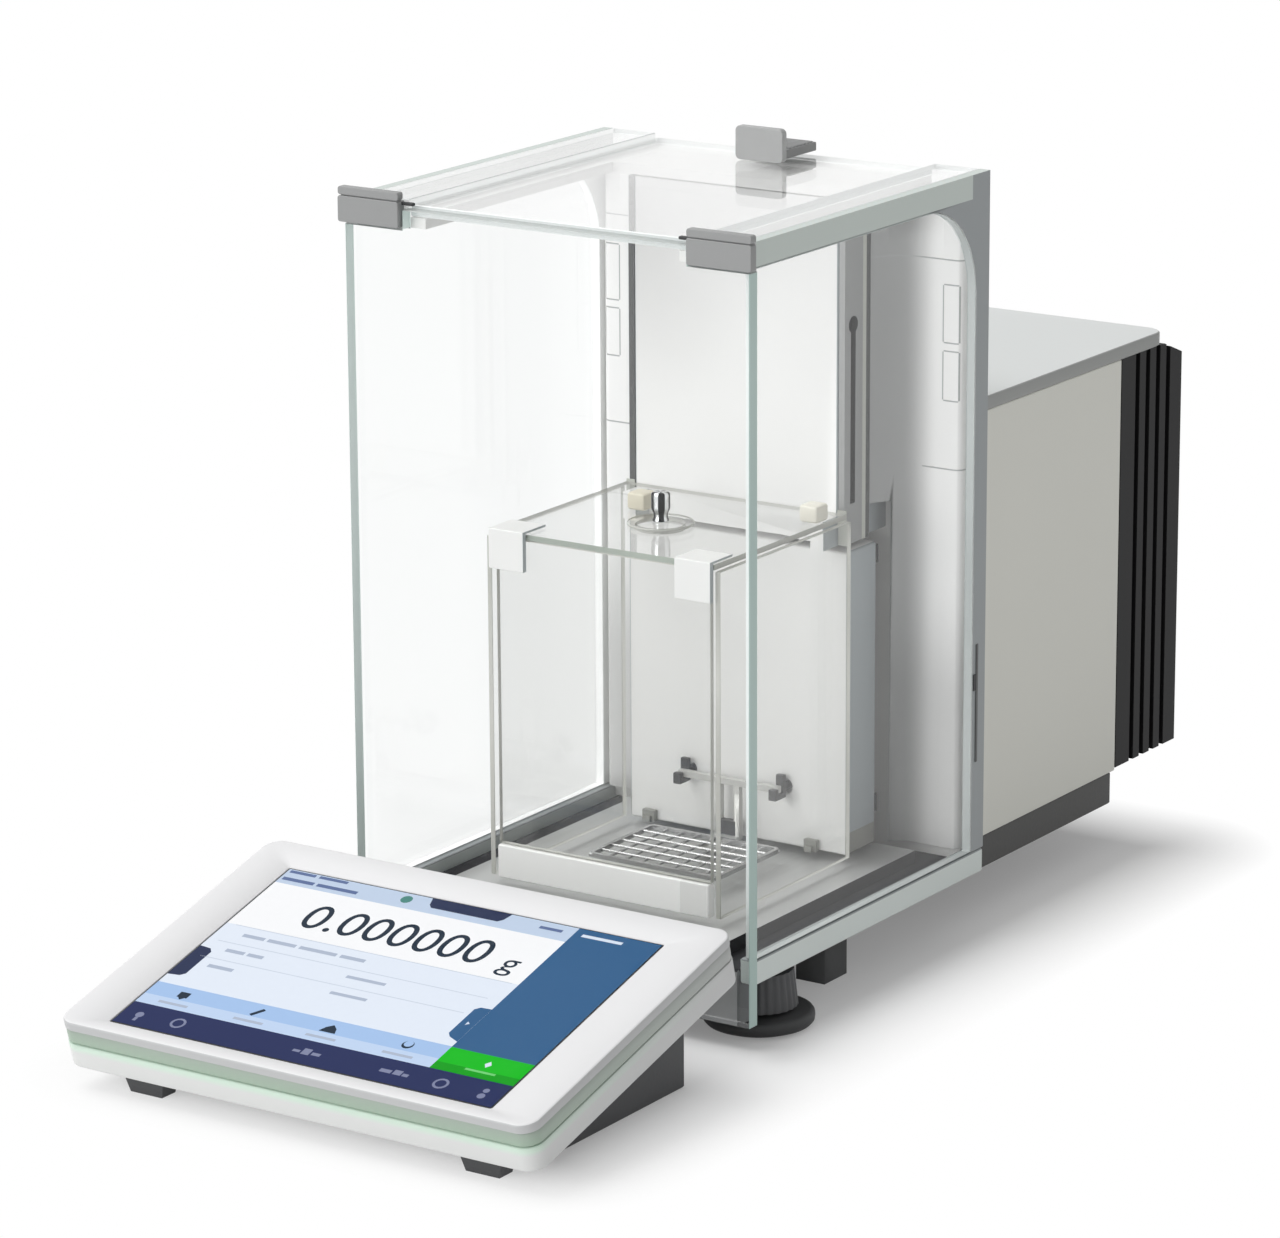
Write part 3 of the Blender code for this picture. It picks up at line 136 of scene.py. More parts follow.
def grainGroup():
    wanted = {"Tint": "c", "Spread": "f", "Scale": "f", "Height": "f", "Gloss": "f", "GlossSpread": "f",
              "Stretch": "v"}
    tree, ask, give = group("grain", wanted, {"Color": "c", "Roughness": "f", "Normal": "v"})
    place, detail = placeOn(tree), grainLook["detail"]
    fine = noiseOn(tree, vectors(tree, "MULTIPLY", place, ask["Stretch"]), ask["Scale"], detail)
    broad = noiseOn(tree, place, grainLook["broad"], detail)
    both = add(tree, "Mix", {"Factor": grainLook["fineShare"], "A": broad, "B": fine}).outputs["Result"]
    gain = maths(tree, "MULTIPLY_ADD", maths(tree, "SUBTRACT", both, grainLook["middle"]), ask["Spread"], 1.0)
    speck = maths(tree, "SUBTRACT", fine, grainLook["middle"])
    fill(tree, give, {
        "Color": add(tree, "VectorMath", {0: ask["Tint"], "Scale": gain}, operation="SCALE").outputs[0],
        "Roughness": maths(tree, "MULTIPLY_ADD", speck, ask["GlossSpread"], ask["Gloss"]),
        "Normal": add(tree, "Bump", {"Height": fine, "Distance": ask["Height"]}).outputs[0]})
    return tree


# Ground glass edges: slow pale and deeper stretches along the edge
bandLook = {"detail": 2.0, "steep": (0.35, 0.65), "bump": 0.00002, "gloss": 0.3}


def bandGroup():
    wanted = {"Pale": "c", "Deep": "c", "Stretch": "v"}
    tree, ask, give = group("bands", wanted, {"Color": "c", "Normal": "v"})
    stretched = vectors(tree, "MULTIPLY", placeOn(tree), ask["Stretch"])
    noise = noiseOn(tree, stretched, 1.0, bandLook["detail"])
    fill(tree, give, {
        "Color": between(tree, ramp(tree, noise, bandLook["steep"]), ask["Pale"], ask["Deep"]),
        "Normal": add(tree, "Bump", {"Height": noise, "Distance": bandLook["bump"]}).outputs[0]})
    return tree


grain = grainGroup()
bands = bandGroup()


def blank(name):
    material = bpy.data.materials.new(name + "Look")
    material.use_nodes = True
    return material, material.node_tree, material.node_tree.nodes["Principled BSDF"]


def grained(tree, tint, spread, scale, height, gloss=0.0, glossSpread=0.0, stretch=(1, 1, 1)):
    values = {"Tint": tint, "Spread": spread, "Scale": scale, "Height": height, "Gloss": gloss,
              "GlossSpread": glossSpread, "Stretch": stretch}
    return add(tree, "Group", values, node_tree=grain).outputs


def skin(name, tint, gloss, spread, scale=900.0, height=0.00002, glossSpread=0.1, stretch=(1, 1, 1), **plain):
    material, tree, shader = blank(name)
    colour = tint(tree) if callable(tint) else tone(*tint)
    made = grained(tree, colour, spread, scale, height, gloss, glossSpread, stretch)
    fill(tree, shader, {"Base Color": made["Color"], "Roughness": made["Roughness"],
                        "Normal": made["Normal"]})
    fill(tree, shader, {key.replace("_", " "): value for key, value in plain.items()})
    return material


# Clear glass lets lamp and bounce light straight through, so what it covers stays bright
glassLook = {"index": 1.05, "coatGloss": 0.02, "waves": 9.0, "wave": 0.000002}


def clearGlass(name, tint, coat=0.5, coatIor=1.5):
    material, tree, shader = blank(name)
    made = grained(tree, tint, 0.0, glassLook["waves"], glassLook["wave"])
    fill(tree, shader, {"Base Color": tint, "Roughness": 0.0, "Transmission Weight": 1.0,
                        "IOR": glassLook["index"], "Coat Weight": coat, "Coat IOR": coatIor,
                        "Coat Roughness": glassLook["coatGloss"], "Normal": made["Normal"]})
    path = add(tree, "LightPath").outputs
    through = add(tree, "BsdfTransparent").outputs[0]
    bounce = add(tree, "MixShader", {0: path["Is Diffuse Ray"], 1: shader.outputs[0], 2: through}).outputs[0]
    lamp = add(tree, "MixShader", {0: path["Is Shadow Ray"], 1: bounce, 2: through}).outputs[0]
    fill(tree, tree.nodes["Material Output"], {"Surface": lamp})
    return material


# A glow painted on a ground edge stands in for light that a pane gathers and lets out at its edges
def glassEdge(name, pale, deep, stretch, glow=0.0):
    material, tree, shader = blank(name)
    values = {"Pale": tone(*pale), "Deep": tone(*deep), "Stretch": (stretch,) * 3}
    made = add(tree, "Group", values, node_tree=bands).outputs
    fill(tree, shader, {"Base Color": made["Color"], "Normal": made["Normal"], "Roughness": bandLook["gloss"],
                        "Emission Color": values["Pale"], "Emission Strength": glow})
    return material


# A tint that runs from one colour to another along one axis, the same on both sides of the middle
def fade(tree, axis, ends, first, last):
    parts = add(tree, "SeparateXYZ", {0: placeOn(tree)}).outputs
    share = ramp(tree, maths(tree, "ABSOLUTE", parts[axis]), ends, interpolation_type="SMOOTHSTEP")
    return between(tree, share, first, last)


# Painted shade on the moulded corner covers: grey in the cove, white on the flat, and darker low down
wingPaintedShade = {"cove": tone(166, 167, 167), "flat": tone(248, 248, 247), "across": (0.053, 0.067),
             "low": tone(216, 216, 216), "high": tone(255, 255, 255), "up": (0.085, 0.14)}
# Painted shade on the tower cover: darker towards its top
towerPaintedShade = {"low": tone(244, 244, 242), "high": tone(217, 217, 216), "up": (0.15, 0.27)}


def wingPaintedShadeTint(tree):
    across = fade(tree, 0, wingPaintedShade["across"], wingPaintedShade["cove"], wingPaintedShade["flat"])
    up = fade(tree, 2, wingPaintedShade["up"], wingPaintedShade["low"], wingPaintedShade["high"])
    return vectors(tree, "MULTIPLY", across, up)


def towerPaintedShadeTint(tree):
    return fade(tree, 2, towerPaintedShade["up"], towerPaintedShade["low"], towerPaintedShade["high"])


# Painted reflection on the turned metal knob: bright and dark streaks round its axis
knobPaintedReflection = {"centre": (0.0, -0.014, 0.0), "streaks": 5.0, "phase": 2.9, "steep": (0.0, 0.5),
             "dark": tone(30, 31, 33), "pale": tone(226, 227, 228)}


def knobPaintedReflectionTint(tree):
    arm = vectors(tree, "SUBTRACT", placeOn(tree), knobPaintedReflection["centre"])
    parts = add(tree, "SeparateXYZ", {0: arm}).outputs
    angle = maths(tree, "ARCTAN2", parts[1], parts[0])
    wave = maths(tree, "SINE", maths(tree, "MULTIPLY_ADD", angle, knobPaintedReflection["streaks"], knobPaintedReflection["phase"]))
    return between(tree, ramp(tree, wave, knobPaintedReflection["steep"]), knobPaintedReflection["dark"], knobPaintedReflection["pale"])


def paintedTint(tree):
    return add(tree, "VertexColor", layer_name="tint").outputs["Color"]


# Each skin has its tint, its gloss, how uneven it is and whatever else sets it apart
skins = {
    # The sill's white is lifted above the other whites, as painted light
    "sillPaintedLight": ((255, 255, 253), 0.4, 0.03),
    "white": ((240, 240, 238), 0.45, 0.04),
    "bright": ((238, 238, 236), 0.4, 0.03),
    "wing": (wingPaintedShadeTint, 0.45, 0.04),
    "tower": (towerPaintedShadeTint, 0.4, 0.03),
    # A darker copy of the white for side faces, as painted shade
    "paintedShadeSide": ((170, 177, 180), 0.45, 0.05),
    "seam": ((172, 174, 174), 0.6, 0.1),
    "pale_rail": ((200, 209, 204), 0.4, 0.05),
    # A lighter copy of the pale bar for the lower rails, as painted light
    "railLowPaintedLight": ((216, 224, 221), 0.4, 0.05),
    # A near-white copy of the pale bar for the frames' inner faces, partly the bars' own paleness and partly
    # painted light
    "frameInnerPaintedLight": ((253, 254, 253), 0.4, 0.05),
    "stile": ((150, 155, 157), 0.42, 0.07),
    "base_grey": ((54, 54, 57), 0.65, 0.05, dict(scale=700.0, height=0.00001, Specular_IOR_Level=0.12)),
    # The apron and the cast's sides are lighter copies of the cast grey, partly painted light
    "apron": ((164, 165, 166), 0.6, 0.15, dict(scale=700.0, height=0.00001)),
    "castSidePaintedLight": ((116, 117, 118), 0.65, 0.2, dict(scale=700.0, height=0.00002, Specular_IOR_Level=0.12)),
    "tray_metal": ((190, 191, 190), 0.45, 0.12, dict(scale=260.0, stretch=(14, 1, 1), Metallic=0.4)),
    "rubber": ((52, 53, 54), 0.62, 0.18, dict(scale=1200.0, height=0.00004)),
    "black_plastic": ((28, 28, 30), 0.5, 0.2),
    "cover_paint": ((222, 222, 214), 0.5, 0.06, dict(scale=1500.0, height=0.00003)),
    "top_paint": ((219, 222, 221), 0.45, 0.06, dict(scale=1500.0)),
    "rim": ((150, 152, 150), 0.5, 0.08),
    "sink_black": ((20, 20, 21), 0.55, 0.25, dict(scale=500.0, stretch=(6, 6, 1), Specular_IOR_Level=0.2)),
    "aluminium": ((158, 160, 161), 0.4, 0.12, dict(scale=400.0, stretch=(1, 1, 12), Metallic=0.6)),
    "railGrey": ((158, 159, 159), 0.45, 0.1, dict(scale=400.0, stretch=(1, 1, 12))),
    # Real dark grey on the door catches, painted shade on the rails
    "darkGreyAndPaintedShade": ((84, 85, 85), 0.5, 0.12),
    "railPale": ((196, 198, 190), 0.45, 0.08),
    "hardware": ((150, 150, 144), 0.5, 0.14),
    "steel": ((186, 186, 186), 0.24, 0.1, dict(scale=600.0, Metallic=0.9)),
    "dark_steel": ((96, 95, 94), 0.34, 0.2, dict(scale=600.0, Metallic=0.7)),
    "hangerMetal": ((196, 196, 192), 0.4, 0.1, dict(scale=600.0, Metallic=0.3)),
    "chrome": ((206, 207, 209), 0.1, 0.05, dict(scale=400.0, height=0.000003, Metallic=1.0)),
    "knob": (knobPaintedReflectionTint, 0.16, 0.05, dict(scale=400.0, height=0.000003, Metallic=0.9)),
    "dark": ((40, 41, 43), 0.55, 0.3),
    "handle_grey": ((148, 149, 149), 0.5, 0.07),
    "tongueGrey": ((132, 133, 133), 0.5, 0.1),
    "gripPale": ((168, 169, 169), 0.5, 0.07),
    "clipPale": ((232, 229, 216), 0.42, 0.1),
    "clip_beige": ((222, 216, 196), 0.42, 0.12),
    "copper": ((190, 120, 80), 0.35, 0.4, dict(scale=300.0, stretch=(1, 1, 20), Metallic=0.9)),
    "board_green": ((40, 104, 66), 0.4, 0.4, dict(scale=200.0)),
    "term_white": ((226, 226, 227), 0.5, 0.03, dict(height=0.000008, Specular_IOR_Level=0.3)),
    "lowShell": (paintedTint, 0.4, 0.03, dict(height=0.000008)),
    "lip": ((190, 191, 192), 0.4, 0.06),
    "screen": ((26, 30, 40), 0.12, 0.2, dict(height=0.000002, glossSpread=0.03)),
    "light_green": (paintedTint, 0.4, 0.04),
    "stand_grey": ((70, 71, 73), 0.55, 0.16, dict(scale=700.0, height=0.00005)),
    "plinthGrey": ((60, 60, 59), 0.55, 0.16, dict(scale=700.0, height=0.00005)),
    "lcd": ((150, 155, 160), 0.5, 0.15),
}
edges = {
    "edge": ((194, 214, 209), (172, 196, 190), 6.0),
    "topEdge": ((176, 182, 180), (152, 159, 157), 9.0),
    "paleEdge": ((243, 246, 245), (232, 237, 236), 6.0),
    "farEdgePaintedLight": ((240, 253, 249), (226, 244, 239), 6.0),
    "paintedGlowEdge": ((255, 255, 255), (250, 252, 251), 6.0, 0.26),
    "bondEdge": ((206, 212, 211), (190, 197, 196), 6.0),
    "innerEdge": ((206, 206, 200), (176, 177, 170), 12.0),
    "greenEdge": ((176, 184, 174), (140, 149, 140), 12.0),
}
looks = {name: skin(name, *row[:3], **dict(*row[3:])) for name, row in skins.items()}
looks.update({name: glassEdge(name, *row) for name, row in edges.items()})
looks["glass"] = clearGlass("glass", (0.988, 0.994, 0.992, 1.0))
looks["topGlass"] = clearGlass("topGlass", (0.99, 0.994, 0.992, 1.0), 1.0, 1.8)
looks["innerGlass"] = clearGlass("innerGlass", (0.92, 0.922, 0.917, 1.0))
print("materials made")


# Mesh helpers: sizes are in millimetres, and a piece takes its body from the node that it stands for unless
# one is given
def around(steps):
    turns = [2 * math.pi * k / steps for k in range(steps)]
    return [(math.cos(a), math.sin(a)) for a in turns]


def prism(bm, outline, axis, low, high, mat=0):
    turn = {"x": lambda a, b, c: (c, a, b), "y": lambda a, b, c: (a, c, b),
            "z": lambda a, b, c: (a, b, c)}[axis]
    ends = [[bm.verts.new(Vector(turn(a, b, c)) * mm) for a, b in outline] for c in (low, high)]
    made = [bm.faces.new(ends[0]), bm.faces.new(ends[1])]
    for k in range(len(outline)):
        n = (k + 1) % len(outline)
        made.append(bm.faces.new((ends[0][k], ends[0][n], ends[1][n], ends[1][k])))
    for face in made:
        face.material_index = mat
    bmesh.ops.recalc_face_normals(bm, faces=made)
    return made


def block(bm, low, high, mat=0):
    (x0, x1), (y0, y1), (z0, z1) = [sorted(ends) for ends in zip(low, high)]
    return prism(bm, [(x0, y0), (x1, y0), (x1, y1), (x0, y1)], "z", z0, z1, mat)


def rounded(x0, x1, y0, y1, radius, steps=10):
    outline = []
    for cx, cy, start in ((x1 - radius, y1 - radius, 0), (x0 + radius, y1 - radius, 90),
                          (x0 + radius, y0 + radius, 180), (x1 - radius, y0 + radius, 270)):
        for k in range(steps + 1):
            angle = math.radians(start + 90.0 * k / steps)
            outline.append((cx + radius * math.cos(angle), cy + radius * math.sin(angle)))
    return outline


def bake(obj):
    graph = bpy.context.evaluated_depsgraph_get()
    live = obj.evaluated_get(graph)
    mesh = bpy.data.meshes.new_from_object(live, preserve_all_data_layers=True, depsgraph=graph)
    obj.modifiers.clear()
    obj.data = mesh


def piece(name, bm, mats, stands, bevel=0.0, segments=3, angle=35.0, body=None, even=False):
    mesh = bpy.data.meshes.new(name)
    bm.to_mesh(mesh)
    bm.free()
    for mat in mats:
        mesh.materials.append(looks[mat])
    obj = bpy.data.objects.new(name, mesh)
    scene.collection.objects.link(obj)
    for face in mesh.polygons:
        face.use_smooth = True
    mesh.set_sharp_from_angle(angle=math.radians(angle))
    if bevel:
        mod = obj.modifiers.new("round", "BEVEL")
        mod.width = bevel * mm
        mod.segments = segments
        mod.limit_method = "ANGLE"
        mod.angle_limit = math.radians(angle)
        mod.harden_normals = True
    if even:
        obj.modifiers.new("even", "WEIGHTED_NORMAL").keep_sharp = True
    if bevel or even:
        bake(obj)
    if body is None:
        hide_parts(stands)
    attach(obj, body or bodyOf[stands])
    return obj


def mirrored(outline, side):
    return [(side * a, b) for a, b in outline]


def corners(node):
    low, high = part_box(node)
    return [v / mm for v in low], [v / mm for v in high]


softLimits = {"merge": 0.00001, "flat": 0.01}


# Moulded and machined parts: a merged copy of the solid, edges rounded, split where the finish changes
def soften(name, node, mats, width=0.0, cuts=(), pick=None, angle=30.0, shape=None):
    bm = bmesh.new()
    bm.from_mesh(nodes[node].data)
    bmesh.ops.remove_doubles(bm, verts=bm.verts, dist=softLimits["merge"])
    bmesh.ops.dissolve_limit(bm, angle_limit=softLimits["flat"], verts=bm.verts, edges=bm.edges)
    for vert in bm.verts if shape else ():
        vert.co = shape(vert.co / mm) * mm
    for axis, place in cuts:
        way = Vector([1.0 if axis == label else 0.0 for label in "xyz"])
        whole = bm.verts[:] + bm.edges[:] + bm.faces[:]
        bmesh.ops.bisect_plane(bm, geom=whole, plane_co=way * place * mm, plane_no=way)
    if width:
        bmesh.ops.triangulate(bm, faces=[face for face in bm.faces if len(face.verts) > 4])
    bm.normal_update()
    for face in bm.faces:
        face.material_index = pick(face.calc_center_median() / mm, face.normal) if pick else 0
    return piece(name, bm, mats, node, width, 2, angle, even=not width)


paneLimits = {"crease": 0.5, "clear": 0.99, "edge": 0.6}


# Glass panes: clear faces, ground edges with a small arris
def pane(name, bm, node, axis, mats, arris=0.3):
    bmesh.ops.recalc_face_normals(bm, faces=bm.faces)
    sharp = [edge for edge in bm.edges if edge.calc_face_angle(0.0) > paneLimits["crease"]]
    bmesh.ops.bevel(bm, geom=sharp, offset=arris * mm, segments=1, affect="EDGES", clamp_overlap=True)
    bm.normal_update()
    least = paneLimits["edge"]
    for face in bm.faces:
        way = face.normal
        if abs(way["xyz".index(axis)]) > paneLimits["clear"]:
            face.material_index = 0
        elif len(mats) > 3 and (way.x < -least or way.z < -least):
            face.material_index = 3 if way.x < -least else 0
        else:
            face.material_index = 2 if abs(way.z) > least or way.y > least else 1
    return piece(name, bm, mats, node, angle=20.0)


doorCorner = {"r": 33.7, "steps": 14}
doorMats = {"right": ("glass", "paleEdge", "bondEdge"), "left": ("glass", "glass", "paintedGlowEdge")}
for side, label in sides:
    low, high = corners("door_glass_" + label)
    radius = doorCorner["r"]
    cy, cz = high[1] - radius, high[2] - radius
    outline = [(low[1], high[2]), (low[1], low[2]), (high[1], low[2])]
    for k in range(doorCorner["steps"] + 1):
        angle = math.radians(90.0 * k / doorCorner["steps"])
        outline.append((cy + radius * math.cos(angle), cz + radius * math.sin(angle)))
    bm = bmesh.new()
    prism(bm, outline, "x", low[0], high[0])
    pane("door_pane_" + label, bm, "door_glass_" + label, "x", doorMats[label])

# Oblong panes: node, axis across the pane, finishes and arris
innerMats = ("innerGlass", "innerEdge", "innerEdge")
oblongPanes = {
    "strip_pane_right": ("door_strip_right", "z", ("topGlass", "paleEdge", "paleEdge"), 0.3),
    "strip_pane_left": ("door_strip_left", "z", ("topGlass", "paintedGlowEdge", "paleEdge"), 0.3),
    "top_pane": ("top_glass", "z", ("topGlass", "paleEdge", "paleEdge"), 0.3),
    "inner_door_pane_right": ("inner_door_right", "x", innerMats, 0.2),
    "inner_door_pane_left": ("inner_door_left", "x", innerMats, 0.2),
    "inner_front_pane": ("inner_front_glass", "y", innerMats, 0.2),
}
for name, (node, axis, mats, arris) in oblongPanes.items():
    bm = bmesh.new()
    block(bm, *corners(node))
    pane(name, bm, node, axis, mats, arris)

frontPane = {"notchX": 58.4, "notchZ": 274.0}
low, high = corners("front_glass")
half = [(high[0], low[2]), (high[0], frontPane["notchZ"]), (frontPane["notchX"], frontPane["notchZ"]),
        (frontPane["notchX"], high[2])]
bm = bmesh.new()
prism(bm, half + mirrored(half, -1)[::-1], "y", low[1], high[1])
# The pane's left edge takes a paler copy of the cyan edge, as painted light
pane("front_pane", bm, "front_glass", "y", ("glass", "edge", "topEdge", "farEdgePaintedLight"))


# Rings of points and the loops between them, for turned and holed shapes
def bridge(bm, first, second, mat=0):
    count = len(first)
    for k in range(count):
        n = (k + 1) % count
        face = bm.faces.new((first[k], first[n], second[n], second[k]))
        face.material_index = mat


def circle(bm, radius, centre, z, steps):
    spots = [(centre[0] + radius * c, centre[1] + radius * s, z) for c, s in around(steps)]
    return [bm.verts.new(Vector(spot) * mm) for spot in spots]


def turned(bm, profile, centre, steps, mats=None):
    rings = [circle(bm, radius, centre, z, steps) for radius, z in profile]
    for k, (first, second) in enumerate(zip(rings, rings[1:])):
        bridge(bm, first, second, mats[k] if mats else 0)
    bm.faces.new(rings[0])
    bm.faces.new(rings[-1]).material_index = mats[-1] if mats else 0
    bmesh.ops.recalc_face_normals(bm, faces=bm.faces)


innerTop = {"hole": 9.0, "lidY": -14.0, "steps": 48, "frontBand": 1.0, "frontShare": 0.9, "least": 1e-6}
low, high = corners("inner_top_glass")
lidY, least = innerTop["lidY"], innerTop["least"]
bm = bmesh.new()
hole = [circle(bm, innerTop["hole"], (0.0, lidY), z, innerTop["steps"]) for z in (low[2], high[2])]
rim = []
for c, s in around(innerTop["steps"]):
    reach = min((high[0] if c > 0 else -low[0]) / max(abs(c), least),
                (high[1] - lidY if s > 0 else lidY - low[1]) / max(abs(s), least))
    rim.append((reach * c, lidY + reach * s))
for x, y in ((high[0], high[1]), (low[0], high[1]), (low[0], low[1]), (high[0], low[1])):
    nearest = min(range(len(rim)), key=lambda k: (rim[k][0] - x) ** 2 + (rim[k][1] - y) ** 2)
    rim[nearest] = (x, y)
outer = [[bm.verts.new(Vector((x, y, z)) * mm) for x, y in rim] for z in (low[2], high[2])]
bridge(bm, hole[0], outer[0], 0)
bridge(bm, hole[1], outer[1], 0)
bridge(bm, outer[0], outer[1], 1)
bridge(bm, hole[0], hole[1], 1)
bmesh.ops.recalc_face_normals(bm, faces=bm.faces)
for face in bm.faces:
    ahead = face.calc_center_median().y < (low[1] + innerTop["frontBand"]) * mm
    if ahead and face.normal.y < -innerTop["frontShare"]:
        face.material_index = 2
piece("inner_top_pane", bm, ("innerGlass", "innerEdge", "greenEdge"), "inner_top_glass", angle=20.0)

lid = {"r": 12.0, "plug": 8.6, "arris": 0.25, "gap": 0.3, "steps": 56}
low, high = corners("lid_disc")
step, radius, arris = corners("inner_top_glass")[1][2] + lid["gap"], lid["r"], lid["arris"]
bm = bmesh.new()
turned(bm, [(radius - arris, high[2]), (radius, high[2] - arris), (radius, step + arris),
            (radius - arris, step), (lid["plug"], step), (lid["plug"], low[2])],
       (0.0, lidY), lid["steps"], [1, 1, 1, 0, 1, 0])
piece("lid_plate", bm, ("innerGlass", "innerEdge"), "lid_disc", angle=20.0)

knob = {"head": ((2.4, 0.0), (2.9, -0.1), (3.3, -0.5), (3.4, -1.0), (3.4, -5.6), (3.2, -6.3), (2.6, -7.6)),
        "foot": ((2.5, 1.4), (2.9, 0.5), (2.9, 0.0)), "steps": 40}
low, high = corners("lid_knob")
profile = [(r, high[2] + z) for r, z in knob["head"]] + [(r, low[2] + z) for r, z in knob["foot"]]
bm = bmesh.new()
turned(bm, profile, (0.0, lidY), knob["steps"])
piece("knob", bm, ("knob",), "lid_knob", angle=50.0)
print("panes made")

# Side door grips: a thin plate with a lip line, a stem back to the door and a small dark tongue
grip = {"plateT": 3.4, "lip": 2.9, "lipBack": 0.2, "groove": 0.3, "r": 0.9, "inset": 0.8, "coreBack": 1.0,
        "lap": 0.2, "stem": ((60.9, 82.0), (276.2, 283.4)),
        "tongue": ((54.4, 1.0), (-85.4, -83.4), (282.4, 283.5))}
for side, label in sides:
    low, high = corners("door_handle_" + label)
    inner, outer = sorted((abs(low[0]), abs(high[0])))
    plateY, split, inset = low[1] + grip["plateT"], high[2] - grip["lip"], grip["inset"]
    bm = bmesh.new()
    for z0, z1, back in ((low[2], split - grip["groove"], 0.0), (split, high[2], grip["lipBack"])):
        prism(bm, mirrored(rounded(inner, outer, z0, z1, grip["r"], 4), side), "y", low[1] + back, plateY)
    block(bm, (side * (inner + inset), low[1] + grip["coreBack"], low[2] + inset),
          (side * (outer - inset), plateY, high[2] - inset))
    (x0, x1), (z0, z1) = grip["stem"]
    block(bm, (side * x0, plateY - grip["lap"], z0), (side * x1, high[1], z1))
    (reach, lap), (y0, y1), (z0, z1) = grip["tongue"]
    block(bm, (side * reach, y0, z0), (side * (inner + lap), y1, z1), 1)
    piece("grip_" + label, bm, ("handle_grey", "dark"), "door_handle_" + label, 0.35, 2)


# Node trees for what repeats: each ends in real geometry with one material
def growTree(name, wanted):
    tree = bpy.data.node_groups.new(name, "GeometryNodeTree")
    tree.interface.new_socket("Geometry", in_out="OUTPUT", socket_type="NodeSocketGeometry")
    keys = {}
    for label, kind in wanted.items():
        socket = tree.interface.new_socket(label, in_out="INPUT", socket_type="NodeSocket" + kind)
        keys[label] = socket.identifier
    return tree, keys, tree.nodes.new("NodeGroupInput").outputs


def grow(tree, kind, inputs=None):
    return add(tree, kind, inputs, "GeometryNode").outputs[0]


def growEnd(tree, ask, many):
    real = grow(tree, "RealizeInstances", {0: many})
    done = grow(tree, "SetMaterial", {"Geometry": real, "Material": ask["Material"]})
    fill(tree, tree.nodes.new("NodeGroupOutput"), {0: done})


# Rows of like bars
def rowTree():
    tree, keys, ask = growTree("rows", {"Count": "Int", "Size": "Vector", "Start": "Vector",
                                        "Pitch": "Vector", "Material": "Material"})
    line = grow(tree, "MeshLine", {"Count": ask["Count"], "Start Location": ask["Start"],
                                   "Offset": ask["Pitch"]})
    bar = grow(tree, "MeshCube", {"Size": ask["Size"]})
    growEnd(tree, ask, grow(tree, "InstanceOnPoints", {"Points": line, "Instance": bar}))
    return tree, keys


# Pan of crossed wires
def wireTree():
    tree, keys, ask = growTree("wires", {"Across": "Int", "Along": "Int", "Half": "Vector", "Radius": "Float",
                                         "Material": "Material"})
    half = add(tree, "SeparateXYZ", {0: ask["Half"]}).outputs
    section = grow(tree, "CurvePrimitiveCircle", {"Resolution": 10, "Radius": ask["Radius"]})
    joined = add(tree, "JoinGeometry", None, "GeometryNode")
    for count, stepAxis, runAxis, lift in ((ask["Across"], 0, 1, 0.0), (ask["Along"], 1, 0, 1.0)):
        back = maths(tree, "MULTIPLY", half[stepAxis], -1.0)
        wide = maths(tree, "MULTIPLY", half[stepAxis], 2.0)
        pitch = maths(tree, "DIVIDE", wide, maths(tree, "ADD", count, -1.0))
        up = maths(tree, "MULTIPLY", ask["Radius"], lift)
        begin = add(tree, "CombineXYZ", {stepAxis: back, 2: up}).outputs[0]
        offset = add(tree, "CombineXYZ", {stepAxis: pitch}).outputs[0]
        row = grow(tree, "MeshLine", {"Count": count, "Start Location": begin, "Offset": offset})
        first = add(tree, "CombineXYZ", {runAxis: maths(tree, "MULTIPLY", half[runAxis], -1.0)}).outputs[0]
        last = add(tree, "CombineXYZ", {runAxis: half[runAxis]}).outputs[0]
        run = grow(tree, "CurvePrimitiveLine", {"Start": first, "End": last})
        rod = grow(tree, "CurveToMesh", {"Curve": run, "Profile Curve": section, "Fill Caps": True})
        fill(tree, joined, {0: grow(tree, "InstanceOnPoints", {"Points": row, "Instance": rod})})
    growEnd(tree, ask, joined.outputs[0])
    return tree, keys


def grown(treeAndKeys, values, material):
    tree, keys = treeAndKeys
    obj = bpy.data.objects.new("grown", bpy.data.meshes.new("grown"))
    scene.collection.objects.link(obj)
    mod = obj.modifiers.new("grow", "NODES")
    mod.node_group = tree
    for label, value in values.items():
        mod[keys[label]] = value
    mod[keys["Material"]] = looks[material]
    bake(obj)
    bm = bmesh.new()
    bm.from_mesh(obj.data)
    bpy.data.objects.remove(obj)
    for face in bm.faces:
        face.material_index = 0
    return bm


topGrip = {"r": 1.9, "tab": (50.0, 53.0), "tongue": (283.5, 286.7), "inset": 0.6, "lap": 0.2, "ribs": 7,
           "pitch": 2.4, "rib": (18.0, 1.1, 0.75), "firstRib": 4.5, "ribLift": 0.17}
low, high = corners("top_handle")
tab, tongue, inset = topGrip["tab"], topGrip["tongue"], topGrip["inset"]
start = Vector((0.0, tab[1] + topGrip["firstRib"], tongue[1] + topGrip["ribLift"]))
bm = grown(rowTree(), {"Count": topGrip["ribs"], "Size": Vector(topGrip["rib"]) * mm, "Start": start * mm,
                       "Pitch": (0.0, topGrip["pitch"] * mm, 0.0)}, "handle_grey")
prism(bm, rounded(low[0], high[0], low[2], high[2], topGrip["r"], 5), "y", tab[0], tab[1], 1)
block(bm, (low[0] + inset, tab[1] - topGrip["lap"], tongue[0]), (high[0] - inset, high[1], tongue[1]))
piece("top_grip", bm, ("tongueGrey", "gripPale"), "top_handle", 0.45, 2)
print("grips made")

